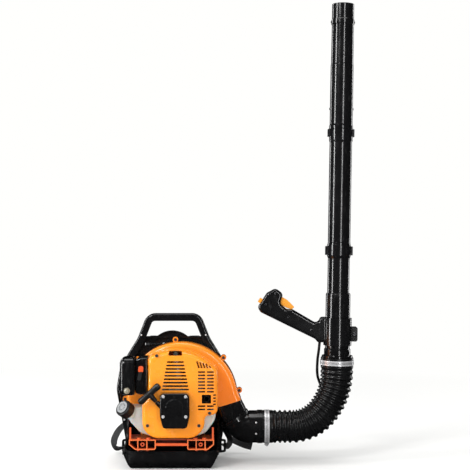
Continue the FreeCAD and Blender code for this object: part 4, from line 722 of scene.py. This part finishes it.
def starter_rope():
    low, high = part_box("starter_rope")
    radius = ROPE_RADIUS * MM
    length = (high - low).x / -ROPE_AXIS.x - 2 * radius
    start = (low + high) / 2 - ROPE_AXIS * (length / 2)
    steps = 40
    profile = [(radius, length * k / steps) for k in range(steps + 1)]
    piece = lathe("pull_rope", profile, start, ROPE_AXIS, rope, 16)
    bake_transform(piece)
    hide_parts("starter_rope")


starter_rope()


# ---------------------------------------------------------------- soft goods

def applied(obj):
    """The object's mesh with its modifiers applied."""
    bpy.context.view_layer.update()
    evaluated = obj.evaluated_get(bpy.context.evaluated_depsgraph_get())
    mesh = bpy.data.meshes.new_from_object(evaluated)
    obj.modifiers.clear()
    obj.data = mesh
    return obj


def positions(obj):
    return np.array([v.co for v in obj.data.vertices], float).reshape(-1, 3)


def set_positions(obj, spots):
    obj.data.vertices.foreach_set("co", spots.astype(np.float32).ravel())
    obj.data.update()


CLOTH_PRESSURE = 4.0
CLOTH_STEPS = 20


def inflated(name, node, voxel, shrink, cap, material):
    """A stuffed piece: the CAD solid, remeshed, drawn in a little and blown up as cloth."""
    obj = bpy.data.objects.new(name, NODES[node].data.copy())
    bpy.context.scene.collection.objects.link(obj)
    weld = obj.modifiers.new("weld", "WELD")
    weld.merge_threshold = 1e-5
    remesh = obj.modifiers.new("remesh", "REMESH")
    remesh.mode = "VOXEL"
    remesh.voxel_size = voxel
    applied(obj)
    relax = obj.modifiers.new("relax", "SMOOTH")
    relax.factor = 0.6
    relax.iterations = 6
    inward = obj.modifiers.new("inward", "DISPLACE")
    inward.mid_level = 0.0
    inward.strength = -shrink
    applied(obj)
    start = positions(obj)
    cloth = obj.modifiers.new("cloth", "CLOTH")
    cloth.settings.quality = 6
    cloth.settings.mass = 0.3
    cloth.settings.use_pressure = True
    cloth.settings.uniform_pressure_force = CLOTH_PRESSURE
    cloth.settings.effector_weights.gravity = 0.0
    scene = bpy.context.scene
    for step in range(1, CLOTH_STEPS + 1):
        scene.frame_set(step)
    applied(obj)
    scene.frame_set(1)
    moves = positions(obj) - start
    far = np.linalg.norm(moves, axis=1, keepdims=True)
    set_positions(obj, start + moves * np.minimum(1.0, cap / np.maximum(far, 1e-9)))
    detail = obj.modifiers.new("detail", "SUBSURF")
    detail.levels = 1
    applied(obj)
    dress(obj, material)
    obj.data.polygons.foreach_set("use_smooth", [True] * len(obj.data.polygons))
    return obj


def groove(distance, width):
    """1 in the middle of a sewn channel, falling to 0 a width away."""
    return np.exp(-(distance / width) ** 2)


def stitch_row(line, outs, pitch, length, width, lift):
    """Thread dashes along a line of points, each standing slightly out of the cloth."""
    parts = []
    travelled = 0.0
    wait = pitch / 2
    for index in range(1, len(line)):
        here = Vector(line[index - 1])
        there = Vector(line[index])
        gap = (there - here).length
        while wait <= travelled + gap:
            share = (wait - travelled) / max(gap, 1e-9)
            spot = here.lerp(there, share)
            run = (there - here).normalized()
            out = Vector(outs[index - 1]).normalized()
            across = run.cross(out).normalized()
            parts.append(block_data(spot + out * lift, run, across, out,
                                    length / 2, width / 2, width / 2, 0.7))
            wait += pitch
        travelled += gap
    return parts


def surface_height(tree, x, z, fallback):
    hit = tree.ray_cast(Vector((x, 0.5, z)), Vector((0, -1, 0)))
    return hit[0].y if hit[0] is not None else fallback


def bvh_of(obj):
    return BVHTree.FromPolygons([v.co.copy() for v in obj.data.vertices],
                                [tuple(p.vertices) for p in obj.data.polygons])


PAD_OUTLINE = [(-83, 92), (83, 92), (93, 200), (76, 318), (-76, 318), (-93, 200)]
PAD_CHANNELS = (158, 214, 270)
PAD_LOW = 80.6 * MM


def pad_border():
    return [(x * MM, z * MM) for x, z in smooth_path([*PAD_OUTLINE, PAD_OUTLINE[0]], 14)]


def back_pad():
    pad = inflated("back_pad_cover", "back_pad", 0.005, 0.0025, 0.006, pad_cloth)
    spots = positions(pad)
    border = np.array(pad_border())
    distance = np.min(np.linalg.norm(spots[:, None, ::2] - border[None, :, :], axis=2), axis=1)
    depth = 0.42 * groove(distance, 0.006)
    for z in PAD_CHANNELS:
        curve = z * MM + 0.010 * (spots[:, 0] / 0.09) ** 2
        inside = np.abs(spots[:, 0]) < 0.084
        depth = np.maximum(depth, 0.36 * groove(spots[:, 2] - curve, 0.0065) * inside)
    spots[:, 1] = PAD_LOW + (np.maximum(spots[:, 1], PAD_LOW) - PAD_LOW) * (1 - depth)
    set_positions(pad, spots)
    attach(pad, "unit")
    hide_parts("back_pad")
    tree = bvh_of(pad)
    parts = []
    lines = [pad_border()]
    for z in PAD_CHANNELS:
        lines.append([(x * MM, z * MM + 0.010 * (x / 90) ** 2) for x in range(-80, 81, 4)])
    for line in lines:
        raised = [(x, surface_height(tree, x, z, 0.1), z) for x, z in line]
        parts += stitch_row(raised, [(0, 1, 0)] * len(raised), 0.0062, 0.0040, 0.0011, 0.0002)
    stitches = merge("back_pad_stitches", parts, thread)
    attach(stitches, "unit")


back_pad()


STRAP = [(55, 92, 338), (60, 140, 352), (68, 196, 318), (80, 217, 250), (92, 205, 185), (106, 176, 130),
         (122, 150, 98)]
STRAP_WIDTHS = (40, 54, 60, 60, 58, 48, 34)
STRAP_STEPS = 12
PAST_THE_TOP = 7
SEAM_SHARE = 0.74


def strap_line(mirror):
    """Centre, across and outward directions, and half width, along a shoulder strap in metres.

    Outward is the wearer's side past the strap's top, and no station turns away from the one before.
    """
    rows = smooth_path([(*spot, width / 2) for spot, width in zip(STRAP, STRAP_WIDTHS)], STRAP_STEPS)
    centres = [Vector((row[0] * mirror, row[1], row[2])) * MM for row in rows]
    stations = []
    for index, centre in enumerate(centres):
        before = centres[max(index - 1, 0)]
        after = centres[min(index + 1, len(centres) - 1)]
        run = (after - before).normalized()
        across = (Vector((1, 0, 0)) - run * run.x).normalized()
        out = across.cross(run).normalized()
        if index >= PAST_THE_TOP and out.y < 0:
            out = -out
        stations.append((centre, across, out, rows[index][3] * MM))
    lead = stations[PAST_THE_TOP][2]
    fixed = []
    for centre, across, out, half in stations:
        if out.dot(lead) < 0:
            out = -out
        lead = out
        fixed.append((centre, across, out, half))
    return fixed


def shoulder_strap(side, mirror):
    node = "shoulder_strap_" + side
    strap = inflated("strap_pad_" + side, node, 0.0045, 0.0012, 0.0032, strap_cloth)
    line = strap_line(mirror)
    centres = np.array([tuple(row[0]) for row in line])
    across = np.array([tuple(row[1]) for row in line])
    out = np.array([tuple(row[2]) for row in line])
    half = np.array([row[3] for row in line])
    spots = positions(strap)
    nearest = np.argmin(np.linalg.norm(spots[:, None, :] - centres[None, :, :], axis=2), axis=1)
    offset = spots - centres[nearest]
    u = np.sum(offset * across[nearest], axis=1)
    v = np.sum(offset * out[nearest], axis=1)
    channel = 0.45 * groove(np.abs(u) - half[nearest] * SEAM_SHARE, 0.0035)
    half_step = STRAP_STEPS / 2
    quilt = 0.22 * groove(nearest % STRAP_STEPS - half_step, 1.4) * (np.abs(u) < half[nearest] * 0.7)
    shallow = np.maximum(channel, quilt)
    spots -= out[nearest] * (v * shallow)[:, None]
    set_positions(strap, spots)
    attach(strap, "unit")
    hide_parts(node)
    tree = bvh_of(strap)
    rows = []
    for edge in (-SEAM_SHARE, SEAM_SHARE):
        for face in (1, -1):
            raised = []
            outs = []
            for centre, side_way, out_way, width in line[3:-3]:
                origin = centre + side_way * (edge * width) + out_way * (face * 0.05)
                hit = tree.ray_cast(origin, -out_way * face)
                if hit[0] is None:
                    continue
                raised.append(hit[0])
                outs.append(out_way * face)
            rows += stitch_row(raised, outs, 0.0058, 0.0036, 0.0010, 0.0001)
    stitches = merge("strap_stitches_" + side, rows, thread)
    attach(stitches, "unit")


WEBBING_WIDTH = 24
WEBBING_THICKNESS = 2.2


def webbing_strip(name, stations, node=None):
    """A flat woven band through (point, across) stations, in millimetres, with soft edges."""
    rows = smooth_path([(*spot, *across) for spot, across in stations], 12)
    centres = [Vector(row[:3]) * MM for row in rows]
    w = WEBBING_WIDTH * MM / 2
    t = WEBBING_THICKNESS * MM / 2
    loop = [(-w + t * 0.6, -t), (-w * 0.5, -t), (0, -t), (w * 0.5, -t), (w - t * 0.6, -t), (w, 0),
            (w - t * 0.6, t), (w * 0.5, t), (0, t), (-w * 0.5, t), (-w + t * 0.6, t), (-w, 0)]
    sections = []
    runs = []
    travelled = 0.0
    for index, centre in enumerate(centres):
        before = centres[max(index - 1, 0)]
        after = centres[min(index + 1, len(centres) - 1)]
        run = (after - before).normalized()
        across = Vector(rows[index][3:6])
        across = (across - run * across.dot(run)).normalized()
        sections.append((across, run.cross(across).normalized(), loop))
        travelled += (centre - centres[index - 1]).length if index else 0.0
        runs.append(travelled)
    vertices, faces = sweep_data(centres, sections)
    piece = add_mesh(name, vertices, faces, webbing)
    count = len(loop)
    along = piece.data.attributes.new("run", "FLOAT", "POINT")
    along.data.foreach_set("value", [runs[k // count] for k in range(len(vertices))])
    side = piece.data.attributes.new("side", "FLOAT", "POINT")
    side.data.foreach_set("value", [loop[k % count][0] for k in range(len(vertices))])
    mesh = bmesh.new()
    mesh.from_mesh(piece.data)
    bmesh.ops.recalc_face_normals(mesh, faces=mesh.faces)
    mesh.to_mesh(piece.data)
    mesh.free()
    piece.data.set_sharp_from_angle(angle=math.radians(50))
    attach(piece, "unit")
    if node:
        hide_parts(node)
    return centres, sections


LEFT_LOOP = [(-146, 93, 32), (-163, 104, 24), (-178, 116, 24), (-183, 122, 42), (-172, 126, 68),
             (-152, 130, 90), (-134, 142, 100)]
RIGHT_LOOP = [(146, 93, 32), (158, 108, 28), (168, 122, 40), (160, 130, 66), (147, 134, 88), (134, 142, 100)]
TAIL = [((140, 141, 88), (0, 1, 0.1)), ((150, 142, 66), (0, 1, 0.2)), ((166, 141, 46), (0, 0.9, 0.45)),
        ((190, 138, 36), (0, 0.6, 0.8)), ((213, 135, 28), (0, 0.4, 0.92)), ((234, 132, 23), (0, 0.3, 0.95))]


def box_stitch(centre, run, across, out, length, width):
    """A sewn box with a cross in it, as on a webbing end."""
    corners = [(-1, -1), (1, -1), (1, 1), (-1, 1), (-1, -1), (1, 1), (1, -1), (-1, 1)]
    line = []
    for (u0, v0), (u1, v1) in zip(corners, corners[1:]):
        for step in range(6):
            share = step / 6
            u = u0 + (u1 - u0) * share
            v = v0 + (v1 - v0) * share
            line.append(centre + run * (u * length / 2) + across * (v * width / 2))
    return stitch_row(line, [out] * len(line), 0.0034, 0.0022, 0.0008, 0.0012)


def twisted(loop, degrees):
    """Stations of a loop that turns its face outwards by some degrees in its middle."""
    stations = []
    last = len(loop) - 1
    for index, spot in enumerate(loop):
        run = (Vector(loop[min(index + 1, last)]) - Vector(loop[max(index - 1, 0)])).normalized()
        angle = math.radians(degrees) * math.sin(math.pi * index / last)
        side = run.cross(Vector((0, 1, 0))).normalized()
        stations.append((spot, Vector((0, 1, 0)) * math.cos(angle) + side * math.sin(angle)))
    return stations


def harness():
    strips = [webbing_strip("webbing_left", twisted(LEFT_LOOP, 58), "strap_webbing"),
              webbing_strip("webbing_right", twisted(RIGHT_LOOP, 45)),
              webbing_strip("webbing_tail", TAIL)]
    parts = []
    for (centres, sections), index in ((strips[0], 8), (strips[1], 8), (strips[2], -6)):
        across, out = sections[index][:2]
        run = (centres[index + 1] - centres[index - 1]).normalized()
        for face in (1, -1):
            parts += box_stitch(centres[index], run, across, out * face, 0.018, 0.017)
    stitches = merge("webbing_box_stitches", parts, thread)
    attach(stitches, "unit")


for side, mirror in (("right", 1), ("left", -1)):
    shoulder_strap(side, mirror)
harness()


# ---------------------------------------------------------------- fittings

def neck_spot(distance):
    return (NECK_ROOT + NECK_AXIS * distance) * MM


def cap_face():
    """A light grey disc on the fuel cap: rings, spokes and a domed middle."""
    base = neck_spot(49.75)
    r = 17.2 * MM
    profile = [(r, 0), (r, 0.0007), (r - 0.0007, 0.0013), (r - 0.0030, 0.0013), (r - 0.0036, 0.0006),
               (r - 0.0058, 0.0006), (r - 0.0064, 0.0014), (0.0062, 0.0016), (0.0056, 0.0008),
               (0.0046, 0.0008), (0.0040, 0.0018), (0.0008, 0.0024)]
    disc = lathe("cap_disc_face", profile, base, NECK_AXIS, cap_grey, 64)
    u, v = basis(NECK_AXIS)
    spokes = []
    for index in range(12):
        angle = math.radians(30 * index)
        way = u * math.cos(angle) + v * math.sin(angle)
        spokes.append(block_data(base + way * 0.0091 + NECK_AXIS * 0.0018, way, NECK_AXIS.cross(way),
                                 NECK_AXIS, 0.0022, 0.0006, 0.0005, 0.75))
    marks = merge("cap_disc_spokes", spokes, cap_black)
    for piece in (disc, marks):
        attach(piece, "cap")


CLAMP_SLOTS = 84


def clamp_slots(name, centre, axis, body, worm_way):
    """The worm thread's slots, pressed round a hose clamp's band except under the worm's housing."""
    u, v = basis(axis)
    outer = (HOSE_RADIUS + 0.2 + CLAMP_BAND) * MM
    parts = []
    for index in range(CLAMP_SLOTS):
        angle = 2 * math.pi * index / CLAMP_SLOTS
        out = u * math.cos(angle) + v * math.sin(angle)
        if out.dot(worm_way) > 0.93:
            continue
        across = Vector(axis).cross(out).normalized()
        along = (Vector(axis).normalized() * 0.97 + across * 0.24).normalized()
        parts.append(block_data(centre + out * outer, along, along.cross(out), out,
                                0.0036, 0.00055, 0.00012))
    piece = merge(name, parts, satin_black)
    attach(piece, body)


ELBOW_RADIUS = 47.0
FRAME_FACE_Y = 67.6


def bright_screws():
    """Bright screws that show on the elbow and the frame."""
    elbow_parts = []
    for z in (121, 89):
        for face in (-1, 1):
            height = z - HOSE_Z
            depth = math.sqrt(ELBOW_RADIUS ** 2 - height ** 2)
            out = Vector((0, face * depth, height)).normalized()
            spot = mm(244, DUCT_Y, HOSE_Z) + out * (ELBOW_RADIUS + 0.2) * MM
            elbow_parts.append(screw_data(spot, out, 3.0 * MM))
    front = Vector((0, -1, 0))
    unit_parts = [screw_data(mm(x, FRAME_FACE_Y, 114), front, 3.0 * MM) for x in (-146.5, 146.5)]
    unit_parts += [screw_data(mm(x, FRAME_FACE_Y, z), front, 2.6 * MM)
                   for x, z in ((-96, 366), (96, 366), (-155, 232), (155, 232))]
    for name, parts, body in (("elbow_screws", elbow_parts, "elbow"), ("frame_screws", unit_parts, "unit")):
        piece = merge(name, parts, screw_steel)
        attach(piece, body)


def tube_mould_lines():
    """The raised parting line down both sides of each tube."""
    spans = {"lower": ("wand", 206, 303, 31.8), "swivel": ("wand", 44, 48, 36.0),
             "middle": ("middle", 354, 643, 32.6), "nozzle": ("nozzle", 700, 868, 33.3),
             "nozzle_end": ("nozzle", 1006, 1047, 32.0)}
    for name, (body, low, high, radius) in spans.items():
        parts = []
        for way in (-1, 1):
            centre = wand_spot(radius * way, 0, (low + high) / 2)
            parts.append(block_data(centre, wand_way(0, 0, 1), wand_way(0, 1, 0), wand_way(way, 0, 0),
                                    (high - low) / 2 * MM, 0.0005, 0.0003, 0.999))
        piece = merge("mould_line_" + name, parts, gloss_black)
        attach(piece, body)


cap_face()
clamp_slots("clamp_slots_lower", mm(276, DUCT_Y, HOSE_Z), (1, 0, 0), "elbow", Vector((0, 0.34, 0.94)))
clamp_slots("clamp_slots_upper", wand_spot(0, 0, 0), wand_way(0, 0, 1), "wand", Vector((0, 1, 0)))
bright_screws()
tube_mould_lines()


# ---------------------------------------------------------------- floor, light and camera

BACKDROP = 1.0
AMBIENT = 0.72


def floor():
    """A pale floor that turns into the backdrop's white away from the object."""
    size = 30.0
    obj = add_mesh("floor", [(-size, -size, 0), (size, -size, 0), (size, size, 0), (-size, size, 0)],
                   [(0, 1, 2, 3)], gloss_black, smooth=False)
    finish = Finish("floor_pale")
    reach = finish.node("ShaderNodeVectorMath", operation="LENGTH")
    finish.feed(finish.place, reach.inputs[0])
    far = finish.span(reach.outputs["Value"], 0.7, 2.4)
    finish.paint(finish.mix(finish.noise(3, 3), (0.86, 0.86, 0.855), (0.89, 0.89, 0.885)),
                 finish.span(finish.noise(8, 3), 0.3, 0.7, 0.75, 0.85))
    glow = finish.node("ShaderNodeEmission")
    glow.inputs["Color"].default_value = (1.0, 1.0, 0.985, 1)
    glow.inputs["Strength"].default_value = BACKDROP
    blend = finish.node("ShaderNodeMixShader")
    finish.feed(far, blend.inputs[0])
    finish.feed(finish.shader.outputs[0], blend.inputs[1])
    finish.feed(glow.outputs[0], blend.inputs[2])
    finish.feed(blend.outputs[0], finish.tree.nodes["Material Output"].inputs["Surface"])
    dress(obj, finish.material)
    obj.visible_glossy = False


def surroundings():
    """White to the eye, but dark in reflections, as a lit backdrop behind a dark studio."""
    world = bpy.data.worlds.new("studio")
    bpy.context.scene.world = world
    world.use_nodes = True
    world.cycles_visibility.glossy = False
    tree = world.node_tree
    background = tree.nodes["Background"]
    background.inputs["Color"].default_value = (1, 1, 0.985, 1)
    path = tree.nodes.new("ShaderNodeLightPath")
    strength = tree.nodes.new("ShaderNodeMix")
    strength.inputs[2].default_value = AMBIENT
    strength.inputs[3].default_value = BACKDROP
    tree.links.new(path.outputs["Is Camera Ray"], strength.inputs[0])
    tree.links.new(strength.outputs[0], background.inputs["Strength"])


def softbox(name, spot, aim, width, height, power):
    light = bpy.data.lights.new(name, "AREA")
    light.shape = "RECTANGLE"
    light.size = width
    light.size_y = height
    light.energy = power
    obj = bpy.data.objects.new(name, light)
    obj.location = spot
    obj.rotation_euler = (Vector(aim) - Vector(spot)).to_track_quat("-Z", "Y").to_euler()
    obj.visible_camera = False
    bpy.context.scene.collection.objects.link(obj)


CAMERA_DISTANCE = 3.3
FIELD_OF_VIEW = 1.372


def camera():
    """A level camera straight in front, whose picture is a field of metres across at the origin."""
    data = bpy.data.cameras.new("camera")
    data.sensor_width = 36.0
    data.lens = data.sensor_width * CAMERA_DISTANCE / FIELD_OF_VIEW
    obj = bpy.data.objects.new("camera", data)
    obj.location = (0.183, -CAMERA_DISTANCE, 0.664)
    obj.rotation_euler = (math.radians(90), 0, 0)
    bpy.context.scene.collection.objects.link(obj)
    bpy.context.scene.camera = obj


floor()
surroundings()
softbox("strip_left", (-1.9, -0.75, 0.95), (0.45, 0, 0.75), 0.22, 2.2, 31)
softbox("strip_front", (1.25, -3.2, 1.0), (0.45, 0, 0.7), 0.20, 2.4, 26)
softbox("key", (-1.3, -2.2, 2.4), (0.0, 0, 0.25), 0.8, 0.8, 38)
softbox("overhead", (0.2, 0.1, 3.2), (0.15, 0, 0.3), 2.0, 1.4, 22)
softbox("strip_back_left", (-1.7, 2.2, 1.0), (0.2, 0, 0.6), 0.35, 2.2, 16)
softbox("strip_back_right", (2.2, 1.6, 1.0), (0.3, 0, 0.6), 0.30, 2.2, 13)
camera()
bpy.context.scene.view_settings.view_transform = "Standard"
